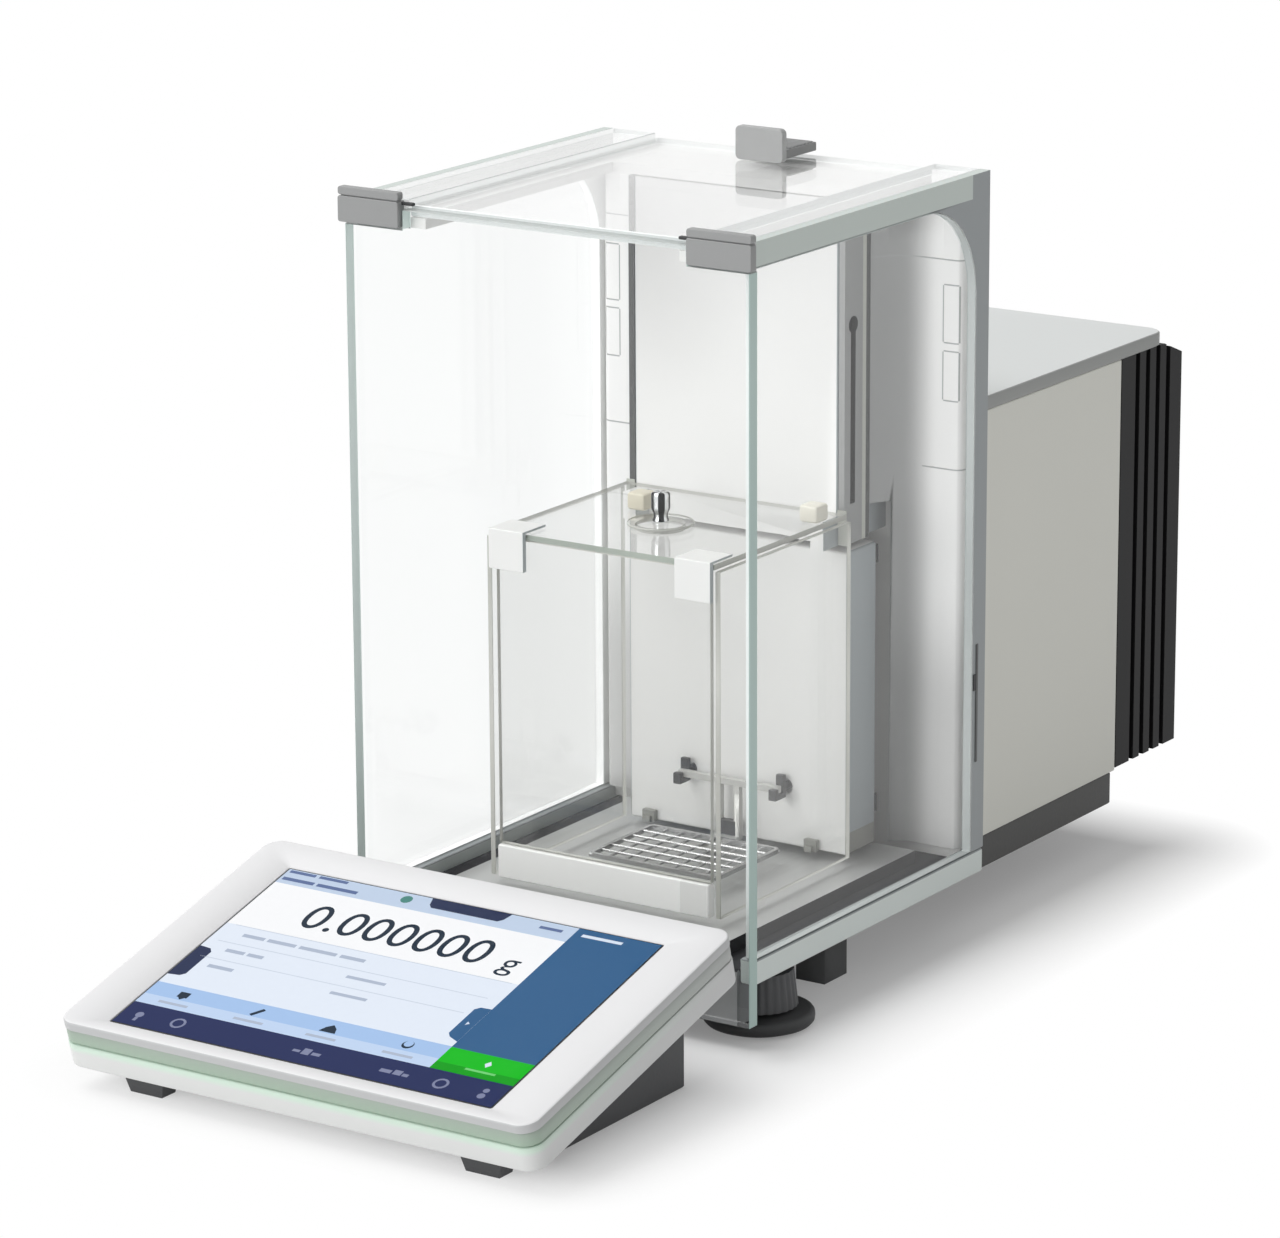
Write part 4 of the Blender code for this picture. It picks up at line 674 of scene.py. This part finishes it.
# Terminal: everything is laid out flat as x, u from the front edge and n up from the face, then tilted
terminal = {"halfW": 97.0, "length": 125.5, "r": 6.5, "tilt": 14.87, "origin": (0.0, -238.0, 25.3),
            "window": (78.3, 5.7, 110.3), "windowR": 0.8, "steps": 14}
tilt = (Matrix.Translation(Vector(terminal["origin"]) * mm)
        @ Matrix.Rotation(math.radians(terminal["tilt"]), 4, "X"))


def tilted(bm, edge, n):
    return [bm.verts.new(tilt @ (Vector((x, u, n)) * mm)) for x, u in edge]


def brim(bm, inset, n):
    half, back = terminal["halfW"] - inset, terminal["length"] - inset
    return tilted(bm, rounded(-half, half, inset, back, terminal["r"] - inset, terminal["steps"]), n)


def window(bm, wider, n):
    half, front, back = terminal["window"]
    half, front, back, radius = half + wider, front - wider, back + wider, terminal["windowR"] + wider
    return tilted(bm, rounded(-half, half, front, back, radius, terminal["steps"]), n)


def loft(bm, rings, closed):
    for first, second in zip(rings, rings[1:] + rings[:1] if closed else rings[1:]):
        bridge(bm, first, second)
    if not closed:
        bm.faces.new(rings[0])
        bm.faces.new(rings[-1])
    bmesh.ops.recalc_face_normals(bm, faces=bm.faces)


bezel = {"window": ((0.0, -2.4), (0.0, -0.25), (0.25, 0.0)), "lip": range(5, 9),
         "brim": ((1.1, 0.0), (0.65, -0.06), (0.3, -0.22), (0.08, -0.5), (0.0, -0.9), (0.0, -3.2),
                  (0.5, -3.35), (3.8, -3.35))}
bm = bmesh.new()
rings = [window(bm, *spot) for spot in bezel["window"]] + [brim(bm, *spot) for spot in bezel["brim"]]
for k, (first, second) in enumerate(zip(rings, rings[1:] + rings[:1])):
    bridge(bm, first, second, 1 if k in bezel["lip"] else 0)
bmesh.ops.recalc_face_normals(bm, faces=bm.faces)
piece("bezel", bm, ("term_white", "lip"), "terminal_top_shell", angle=50.0)


# Colours by ring at the front, which turn to one plain colour once they are round the corners
frontFade = {"y": -232.0, "over": 10.0}


def paintFront(bm, rings, colours, plain):
    colourOf = {vert: Vector(colour) for ring, colour in zip(rings, colours) for vert in ring}
    layer = bm.loops.layers.float_color.new("tint")
    for face in bm.faces:
        for loop in face.loops:
            away = min(max((loop.vert.co.y / mm - frontFade["y"]) / frontFade["over"], 0.0), 1.0)
            loop[layer] = colourOf[loop.vert].lerp(Vector(plain), away)


# Light strip, a little greener towards its lower edge
strip = {"high": tone(164, 177, 166), "low": tone(162, 184, 165), "side": tone(176, 179, 177),
         "profile": ((3.6, -3.5), (0.6, -3.5), (0.25, -3.9), (0.2, -6.0), (0.25, -8.2), (0.6, -8.5),
                     (3.6, -8.5))}
bm = bmesh.new()
rings = [brim(bm, *spot) for spot in strip["profile"]]
loft(bm, rings, True)
top, foot = strip["profile"][0][1], strip["profile"][-1][1]
shares = [(n - top) / (foot - top) for inset, n in strip["profile"]]
colours = [Vector(strip["high"]).lerp(Vector(strip["low"]), share) for share in shares]
paintFront(bm, rings, colours, strip["side"])
piece("light_band", bm, ("light_green",), "status_light", angle=40.0)

# Lower shell: a painted glow of the strip's light tints its upper edge at the front, and its sides are
# painted a darker grey as shade
lower = {"profile": ((0.7, -8.7), (0.15, -8.9), (0.0, -9.4), (0.0, -10.4), (0.0, -12.2), (0.0, -17.0),
                     (0.1, -17.5), (0.35, -17.85), (0.8, -18.0)),
         "glow": [tone(192, 212, 197), tone(194, 214, 199), tone(208, 228, 213), tone(214, 232, 219)],
         "front": tone(222, 223, 222), "side": tone(204, 205, 205)}
bm = bmesh.new()
rings = [brim(bm, *spot) for spot in lower["profile"]]
loft(bm, rings, False)
paintFront(bm, rings, lower["glow"] + [lower["front"]] * (len(rings) - len(lower["glow"])), lower["side"])
piece("lower_shell", bm, ("lowShell",), "terminal_bottom_shell", angle=40.0)
print("terminal shells made")


# Screen: flat coloured fields in a layout of 1170 by 780 over the touch panel
screen = {"left": -77.6, "top": 109.6, "wide": 155.2, "high": 103.2, "columns": 1170.0, "rows": 780.0,
          "n": -0.14, "lift": 0.03}
shades = {"header": tone(196, 212, 234), "navy": tone(42, 52, 84), "paper": tone(250, 251, 253),
          "list": tone(230, 238, 250), "strip": tone(168, 198, 238), "stripLow": tone(196, 216, 244),
          "panel": tone(54, 98, 142), "bar": tone(38, 48, 92), "green": tone(18, 190, 30),
          "greenLow": tone(10, 160, 24), "ink": tone(36, 50, 66), "faint": tone(206, 215, 229),
          "grey": tone(178, 189, 208), "pale": tone(222, 232, 246), "text": tone(98, 116, 158),
          "icon": tone(132, 138, 168), "sign": tone(82, 140, 132), "mint": tone(120, 214, 124)}
bm = bmesh.new()
layer = bm.loops.layers.float_color.new("tint")


def screenVert(px, py, level):
    x = screen["left"] + screen["wide"] * px / screen["columns"]
    u = screen["top"] - screen["high"] * py / screen["rows"]
    return bm.verts.new(tilt @ (Vector((x, u, screen["n"] + screen["lift"] * level)) * mm))


def field(verts, shade):
    face = bm.faces.new(verts)
    face.normal_update()
    if face.normal.z < 0:
        face.normal_flip()
    for loop in face.loops:
        loop[layer] = shades[shade]


def oblong(x0, y0, x1, y1):
    return [(x0, y0), (x1, y0), (x1, y1), (x0, y1)]


def dot(cx, cy, radius, steps=14):
    return [(cx + radius * c, cy + radius * s) for c, s in around(steps)]


def words(text, area, shade, level):
    curve = bpy.data.curves.new("words", "FONT")
    curve.body = text
    curve.resolution_u = 6
    obj = bpy.data.objects.new("words", curve)
    scene.collection.objects.link(obj)
    bpy.context.view_layer.update()
    graph = bpy.context.evaluated_depsgraph_get()
    mesh = bpy.data.meshes.new_from_object(obj.evaluated_get(graph))
    bpy.data.objects.remove(obj)
    xs, ys = [v.co.x for v in mesh.vertices], [v.co.y for v in mesh.vertices]
    x0, y0, x1, y1 = area
    verts = []
    for v in mesh.vertices:
        px = x0 + (v.co.x - min(xs)) / (max(xs) - min(xs)) * (x1 - x0)
        py = y1 - (v.co.y - min(ys)) / (max(ys) - min(ys)) * (y1 - y0)
        verts.append(screenVert(px, py, level))
    for polygon in mesh.polygons:
        field([verts[k] for k in polygon.vertices], shade)


# Shade, level above the panel, and corners of oblongs, centres and radii of dots, or points of other shapes
oblongs = (
    ("header", 0, ((0, 0, 920, 68),)), ("paper", 0, ((0, 68, 920, 282),)), ("list", 0, ((0, 282, 920, 582),)),
    ("strip", 0, ((0, 582, 920, 640),)), ("stripLow", 0, ((0, 640, 920, 682),)),
    ("panel", 0, ((920, 0, 1170, 584),)), ("green", 0, ((920, 584, 1170, 650),)),
    ("greenLow", 0, ((920, 650, 1170, 682),)), ("bar", 0, ((0, 682, 1170, 780),)),
    ("faint", 1, ((30, 282, 900, 285), (30, 362, 880, 365), (30, 440, 860, 443))),
    ("grey", 1, ((80, 314, 150, 328), (160, 314, 250, 328), (262, 314, 380, 328), (392, 314, 470, 328),
                 (80, 390, 140, 404), (150, 390, 200, 404), (466, 392, 588, 404), (80, 468, 160, 482),
                 (470, 470, 584, 482), (60, 656, 152, 666), (299, 656, 391, 666), (526, 656, 618, 666),
                 (762, 656, 854, 666))),
    ("text", 1, ((8, 4, 92, 16), (104, 4, 196, 16), (8, 38, 110, 52), (120, 38, 250, 52),
                 (815, 22, 885, 34))),
    ("pale", 1, ((945, 22, 1068, 34),)), ("ink", 1, ((92, 604, 124, 628),)),
    ("mint", 1, ((1010, 652, 1100, 660),)),
    ("icon", 1, ((48, 744, 58, 760), (538, 728, 560, 738), (566, 716, 590, 742), (596, 726, 622, 738),
                 (806, 726, 840, 740), (846, 720, 870, 740), (874, 728, 892, 740))),
)
dots = (
    ("sign", 1, ((397, 28, 17),)), ("ink", 1, ((808, 614, 17),)), ("strip", 2, ((808, 610, 13),)),
    ("icon", 1, ((53, 732, 12), (176, 732, 22), (990, 734, 22), (1118, 722, 9), (1118, 746, 11))),
    ("bar", 2, ((176, 732, 15), (990, 734, 15))),
)
others = (
    ("navy", 1, [(462, 0), (712, 0), (704, 30), (692, 42), (484, 42), (472, 30)]),
    ("navy", 1, [(0, 400), (36, 404), (48, 418), (48, 528), (36, 540), (0, 544)]),
    ("panel", 1, [(920, 404), (888, 406), (876, 418), (876, 532), (888, 546), (920, 560)]),
    ("pale", 2, [(894, 472), (894, 488), (904, 480)]),
    ("pale", 1, [(1046, 622), (1056, 608), (1066, 622), (1056, 636)]),
    ("ink", 1, [(98, 628), (118, 628), (108, 638)]),
    ("ink", 1, [(328, 632), (352, 600), (362, 606), (338, 638)]),
    ("ink", 1, [(548, 636), (598, 636), (590, 616), (574, 602), (558, 616)]),
)
shapes = [(shade, level, make(*spot)) for make, rows in ((oblong, oblongs), (dot, dots))
          for shade, level, spots in rows for spot in spots]
for shade, level, points in shapes + list(others):
    field([screenVert(px, py, level) for px, py in points], shade)
words("0.000000", (186, 126, 764, 236), "ink", 1)
words("g", (820, 188, 868, 262), "ink", 1)


# The panel shines a little of its own colour and shows a fine backlight unevenness
panelLook = {"grain": (0.05, 500.0, 0.000002, 0.25, 0.04), "own": 0.5, "shine": 0.45, "specular": 0.06}


def displayMaterial():
    material, tree, shader = blank("display")
    made = grained(tree, paintedTint(tree), *panelLook["grain"])
    fill(tree, shader, {"Base Color": vectors(tree, "MULTIPLY", made["Color"], (panelLook["own"],) * 3),
                        "Emission Color": made["Color"], "Roughness": made["Roughness"],
                        "Emission Strength": panelLook["shine"], "Specular IOR Level": panelLook["specular"]})
    return material


looks["display"] = displayMaterial()
piece("display_face", bm, ("display",), "touch_glass", body="chassis")
print("screen made")

panWires = {"Across": 9, "Along": 7, "Half": (0.0269, 0.0202, 0.0), "Radius": 0.00055}
panRim = {"wide": 1.5, "r": 2.5, "innerR": 1.2, "wireDrop": 1.2}
low, high = corners("pan_grid")
bm = grown(wireTree(), panWires, "steel")
middle = Vector(((low[0] + high[0]) / 2, (low[1] + high[1]) / 2, high[2] - panRim["wireDrop"]))
bm.transform(Matrix.Translation(middle * mm))
wide = panRim["wide"]
outline = rounded(low[0], high[0], low[1], high[1], panRim["r"], 5)
inside = rounded(low[0] + wide, high[0] - wide, low[1] + wide, high[1] - wide, panRim["innerR"], 5)
rings = [[bm.verts.new(Vector((x, y, z)) * mm) for x, y in edge] for edge, z in
         ((outline, low[2]), (outline, high[2]), (inside, high[2]), (inside, low[2]))]
loft(bm, rings, True)
piece("wire_pan", bm, ("steel",), "pan_grid", angle=50.0)
print("pan made")

# Levelling feet: wheels on smooth spindles, under columns with fine upright flutes
wheel = {"spindle": 3.2, "steps": 72,
         "profile": ((3.2, 7.2), (5.0, 6.2), (17.6, 6.0), (19.0, 5.6), (19.6, 4.8), (19.7, 3.6), (19.5, 2.2),
                     (18.6, 1.2), (16.8, 0.8), (15.5, 0.8), (15.5, 0.0))}
column = {"low": 13.5, "top": 12.0, "z": (7.6, 20.8), "flutes": 26, "deep": 0.5, "proud": 0.35, "steps": 6}
for side, label in sides:
    low, high = corners("foot_screw_" + label)
    cx, cy = (low[0] + high[0]) / 2, (low[1] + high[1]) / 2
    bm = bmesh.new()
    turned(bm, ((wheel["spindle"], high[2]),) + wheel["profile"], (cx, cy), wheel["steps"])
    piece("level_wheel_" + label, bm, ("rubber",), "foot_screw_" + label, angle=45.0)
    bm = bmesh.new()
    rings = []
    count = column["flutes"] * column["steps"]
    turns = [2 * math.pi * k / count for k in range(count)]
    cuts = [column["deep"] * (0.5 - 0.5 * math.cos(a * column["flutes"])) ** 2 for a in turns]
    for z, radius in zip(column["z"], (column["low"], column["top"])):
        reach = [radius + column["proud"] - cut for cut in cuts]
        rings.append([bm.verts.new(Vector((cx + r * math.cos(a), cy + r * math.sin(a), z)) * mm)
                      for r, a in zip(reach, turns)])
    loft(bm, rings, False)
    piece("fluted_column_" + label, bm, ("stand_grey",), "base_casting", angle=50.0,
          body=bodyOf["base_casting"])
print("feet made")

# Behind the chamber: corner covers with parting lines and two faint covers each, tower, rails and box
wing = {"line": 0.25, "seams": (252.0, 176.0), "seamFrom": 62.0, "plates": ((201.0, 219.0), (222.0, 243.0)),
        "plateX": (68.6, 75.0), "frontShare": 0.2}
rail = {"pale": (46.4, 48.8), "slotY": (36.3, 43.7), "slotZ": (160.0, 238.0), "paintedSlotShade": (-0.25, -0.05),
        "tab": ((-0.1, 3.5), (33.8, 34.25), (150.6, 163.4))}
box = {"hardwareZ": 43.0, "pinX": 45.45, "pinR": 0.95, "pinBack": 1.05, "pinSteps": 16,
       "pins": ((46.5, 53.0), (140.0, 146.5)), "clipX": (-37.0, 32.0),
       "clip": ((2.6, (-2.2, -0.1), 4.2), (1.4, (-3.6, -2.3), 2.2))}


def wingPick(spot, way):
    x, half = abs(spot.x), wing["line"]
    lines = [abs(spot.z - z) < half for z in wing["seams"]]
    if lines[0] or (lines[1] and x > wing["seamFrom"]):
        return 1
    x0, x1 = wing["plateX"]
    for z0, z1 in wing["plates"]:
        onEnds = min(abs(spot.z - z0), abs(spot.z - z1)) < half and x0 < x < x1
        onSides = min(abs(x - x0), abs(x - x1)) < half and z0 < spot.z < z1
        if (onEnds or onSides) and way.y < -wing["frontShare"]:
            return 1
    return 0


# The left rail's front face, the walls of the slot and all behind the pale band take the dark grey as painted
# shade
def railPick(spot, way):
    slotY, slotZ = rail["slotY"], rail["slotZ"]
    if way.y < -mostly and spot.y < slotY[0]:
        return 0 if spot.x > 0 else 1
    inSlot = slotY[0] < spot.y < slotY[1] and abs(way.x) < partly < abs(way.y) + abs(way.z)
    if (inSlot and slotZ[0] < spot.z < slotZ[1]) or spot.y > rail["pale"][1]:
        return 1
    return 2 if spot.y > rail["pale"][0] and abs(way.x) > partly else 0


# Faces that look along x are picked for a darker colour, as painted shade
def paintedShadeSidePick(spot, way):
    return 1 if abs(way.x) > mostly else 0


def boxPick(spot, way):
    return 2 if paintedShadeSidePick(spot, way) and spot.z < box["hardwareZ"] else paintedShadeSidePick(spot, way)


shifts = (-wing["line"], wing["line"])
heights = [("z", z + shift) for z in wing["seams"] + sum(wing["plates"], ()) for shift in shifts]
for side, label in sides:
    cuts = heights + [("x", side * (x + shift)) for x in wing["plateX"] for shift in shifts]
    soften("wing_" + label, "wing_cover_" + label, ("wing", "seam"), cuts=cuts, pick=wingPick, angle=40.0)
    soften("rail_" + label, "accessory_rail_" + label, ("railGrey", "darkGreyAndPaintedShade", "railPale"),
           cuts=[("y", y) for y in rail["pale"]], pick=railPick)
    # Each rail gets a dark sheet in its slot, painted shade standing in for the hollow, and a pale tab
    low, high = corners("accessory_rail_" + label)
    inner = min(abs(low[0]), abs(high[0]))
    bm = bmesh.new()
    for mat, (xs, ys, zs) in enumerate(((rail["paintedSlotShade"], rail["slotY"], rail["slotZ"]), rail["tab"])):
        block(bm, (side * (inner + xs[0]), ys[0], zs[0]), (side * (inner + xs[1]), ys[1], zs[1]), mat)
    piece("rail_fittings_" + label, bm, ("dark", "railPale"), "accessory_rail_" + label, body="chassis")
soften("tower", "tower_cover", ("tower", "paintedShadeSide"), 0.8, pick=paintedShadeSidePick)
soften("box", "rear_box", ("white", "paintedShadeSide", "hardware"), cuts=[("z", box["hardwareZ"])], pick=boxPick,
       angle=50.0)

# Short pins at the box's rear corners, and clips at its front foot
bm = bmesh.new()
low, high = corners("rear_box")
for side, label in sides:
    for z0, z1 in box["pins"]:
        centre = (side * box["pinX"], high[1] + box["pinBack"])
        turned(bm, [(box["pinR"], z1), (box["pinR"], z0)], centre, box["pinSteps"])
for x in box["clipX"]:
    for half, (y0, y1), tall in box["clip"]:
        block(bm, (x - half, low[1] + y0, low[2]), (x + half, low[1] + y1, low[2] + tall), 1)
piece("box_fittings", bm, ("dark", "hardware"), "rear_box", body="chassis", angle=50.0)
print("tower made")

# Inner shield's plastic and the hanging parts
# The sill's middle takes the lifted white, as painted light, and its ends the bright white
sill = {"endX": (33.0, 44.0)}
soften("sill", "inner_sill", ("sillPaintedLight", "bright"), cuts=[("x", x) for x in sill["endX"]],
       pick=lambda spot, way: 1 if sill["endX"][0] < spot.x < sill["endX"][1] else 0, angle=50.0)
for side, label in sides:
    soften("corner_" + label, "inner_corner_" + label, ("bright", "paintedShadeSide"), 0.6,
           pick=lambda spot, way: 1 if way.x > mostly else 0)
    soften("clip_" + label, "top_clip_" + label, ("clipPale" if side > 0 else "clip_beige",), angle=60.0)
soften("hanger", "pan_hanger", ("hangerMetal",), 0.25)
coupling = {"halfX": 3.6, "high": 5.6, "deep": 2.6, "lap": 0.1, "lift": 1.4}
low, high = corners("pan_hanger")
half, foot = coupling["halfX"], low[2] + coupling["lift"]
bm = bmesh.new()
block(bm, (-half, high[1] - coupling["deep"], foot),
      (half, high[1] + coupling["lap"], foot + coupling["high"]))
piece("hanger_coupling", bm, ("black_plastic",), "pan_hanger", 0.3, 2, body=bodyOf["pan_hanger"])
hooks = {"frontY": 36.0}
soften("hooks", "load_arms", ("black_plastic", "dark_steel"), cuts=[("y", hooks["frontY"])],
       pick=lambda spot, way: 0 if spot.y < hooks["frontY"] else 1, angle=40.0)
print("inner shield made")

# Side door frames of pale bar and grey stile with a dark catch, then lower rails, base and tray
doorBar = {"endY": 61.0, "under": 275.1}
catch = {"strip": ((66.4, 67.6), (68.0, 112.0)), "stop": ((64.6, 66.0), (95.0, 101.0)), "proud": 0.35}
base = {"apronY": -80.0, "apronShare": 0.9, "trayX": 60.0}


# Top faces take the pale bar colour; faces that don't look outward take its near-white copy, partly painted
# light
def framePick(side):
    def pick(spot, way):
        if way.z > mostly or way.x * side < partly:
            return 0 if way.z > mostly else 2
        return 1 if spot.y > doorBar["endY"] or spot.z < doorBar["under"] else 0
    return pick


def topPick(spot, way):
    return 1 if way.z > mostly else 0


# Top faces take the cast's dark grey; the front apron and the other faces take lighter greys, partly as
# painted light
def basePick(spot, way):
    onApron = way.y < -base["apronShare"] and spot.y < base["apronY"]
    return 2 if onApron else topPick(spot, way)


for side, label in sides:
    frameNode = "door_frame_" + label
    soften(frameNode + "_bonded", frameNode, ("pale_rail", "stile", "frameInnerPaintedLight"), 0.3,
           cuts=[("y", doorBar["endY"]), ("z", doorBar["under"])], pick=framePick(side))
    low, high = corners(frameNode)
    face = max(abs(low[0]), abs(high[0]))
    bm = bmesh.new()
    for mat, key in enumerate(("strip", "stop")):
        (y0, y1), (z0, z1) = catch[key]
        block(bm, (side * face, y0, z0), (side * (face + catch["proud"]), y1, z1), mat)
    piece("door_catch_" + label, bm, ("darkGreyAndPaintedShade", "dark"), frameNode, body=bodyOf[frameNode])
    # The lower rails' sides take a lighter copy of the pale bar as painted light, and their tops the darker
    # stile grey as painted shade
    soften("sill_rail_" + label, "lower_rail_" + label, ("railLowPaintedLight", "stile"), pick=topPick, angle=50.0)
soften("base", "base_casting", ("castSidePaintedLight", "base_grey", "apron"), pick=basePick, angle=40.0)
# The tray's sides beyond trayX take the dark base grey as painted shade
soften("tray", "floor_tray", ("tray_metal", "base_grey"), angle=40.0,
       pick=lambda spot, way: paintedShadeSidePick(spot, way) if abs(spot.x) > base["trayX"] else 0)
print("door frames made")

# Housing: plain painted covers, the top one with a darker side; the stand's front feet narrow downwards
topCover = {"sideShare": 0.6}
standFeet = {"y": -210.0, "z": 0.1, "middle": (69.25, -220.0), "keep": 0.72}


def taperedFeet(spot):
    if spot.y > standFeet["y"] or spot.z > standFeet["z"]:
        return spot
    centre = Vector((math.copysign(standFeet["middle"][0], spot.x), standFeet["middle"][1], spot.z))
    return centre.lerp(spot, standFeet["keep"])


for side, label in sides:
    soften("side_panel_" + label, "side_cover_" + label, ("cover_paint",), 0.4)
soften("lid_panel", "top_cover", ("top_paint", "rim"), angle=50.0,
       pick=lambda spot, way: 1 if abs(way.x) > topCover["sideShare"] else 0)
soften("housing_foot", "plinth", ("plinthGrey",), angle=50.0)
soften("stand", "terminal_stand", ("stand_grey",), angle=50.0, shape=taperedFeet)
print("housing made")

# Remaining nodes keep their shape and take a finished material
for node, obj in nodes.items():
    if not obj.hide_render:
        obj.material_slots[0].material = looks[slotOf[node]]


# Floor: white far away, and close by it takes the soft shadow
floorLook = {"half": (0.08, 0.2, 0.0), "near": 0.2, "reach": 0.05, "tint": (0.9, 0.9, 0.9, 1.0), "gloss": 0.7,
             "specular": 0.2, "r": 30.0, "steps": 64}
white = (1, 1, 1, 1)


def seenRays(tree):
    path = add(tree, "LightPath").outputs
    return maths(tree, "MAXIMUM", maths(tree, "MAXIMUM", path["Is Camera Ray"], path["Is Glossy Ray"]),
                 path["Is Transmission Ray"])


def floorMaterial():
    material, tree, shader = blank("floor")
    fill(tree, shader, {"Base Color": floorLook["tint"], "Roughness": floorLook["gloss"],
                        "Specular IOR Level": floorLook["specular"]})
    away = vectors(tree, "SUBTRACT", vectors(tree, "ABSOLUTE", placeOn(tree)), floorLook["half"])
    away = vectors(tree, "MAXIMUM", away, (0, 0, 0))
    far = add(tree, "VectorMath", {0: away}, operation="LENGTH").outputs["Value"]
    near = add(tree, "MapRange", {"Value": far, "From Max": floorLook["reach"], "To Min": floorLook["near"]})
    amount = maths(tree, "MULTIPLY", near.outputs["Result"], seenRays(tree))
    plain = add(tree, "Emission", {"Color": white, "Strength": 1.0}).outputs[0]
    mixed = add(tree, "MixShader", {0: amount, 1: shader.outputs[0], 2: plain}).outputs[0]
    fill(tree, tree.nodes["Material Output"], {"Surface": mixed})
    return material


bm = bmesh.new()
bmesh.ops.create_circle(bm, cap_ends=True, segments=floorLook["steps"], radius=floorLook["r"])
mesh = bpy.data.meshes.new("floor")
bm.to_mesh(mesh)
bm.free()
mesh.materials.append(floorMaterial())
floor = bpy.data.objects.new("floor", mesh)
scene.collection.objects.link(floor)

# Studio: even light all round that shows as plain white, a key lamp above and a weaker one in front
studio = {"ambient": 0.42, "aim": (0.0, 0.0, 0.12), "key": ((-1.6, -0.5, 3.4), 2.5, 78.0),
          "front": ((-1.3, -3.6, 1.3), 2.2, 58.0)}
scene.world = bpy.data.worlds.new("studio")
scene.world.use_nodes = True
tree = scene.world.node_tree
ambient = tree.nodes["Background"]
fill(tree, ambient, {"Color": white, "Strength": studio["ambient"]})
shown = add(tree, "Background", {"Color": white, "Strength": 1.0})
mixed = add(tree, "MixShader", {0: seenRays(tree), 1: ambient.outputs[0], 2: shown.outputs[0]}).outputs[0]
fill(tree, tree.nodes["World Output"], {"Surface": mixed})
for name in ("key", "front"):
    spot, width, power = studio[name]
    data = bpy.data.lights.new(name, "AREA")
    data.size = width
    data.energy = power
    lamp = bpy.data.objects.new(name, data)
    lamp.location = spot
    lamp.rotation_euler = (Vector(studio["aim"]) - Vector(spot)).to_track_quat("-Z", "Y").to_euler()
    scene.collection.objects.link(lamp)

view = {"at": (1.0399, -1.5862, 0.6365), "turn": 33.716, "down": 15.099, "roll": -0.319}
lens = {"sensor_fit": "HORIZONTAL", "sensor_width": 36.0, "lens": 154.85, "clip_start": 0.05,
        "clip_end": 100.0}
camera = bpy.data.objects.new("camera", bpy.data.cameras.new("camera"))
for key, value in lens.items():
    setattr(camera.data, key, value)
pointing = Matrix.Translation(view["at"])
for degrees, axis in ((view["turn"], "Z"), (90.0 - view["down"], "X"), (view["roll"], "Z")):
    pointing = pointing @ Matrix.Rotation(math.radians(degrees), 4, axis)
camera.matrix_world = pointing
scene.collection.objects.link(camera)
scene.camera = camera

scene.view_settings.view_transform = "Standard"
print("scene ready")
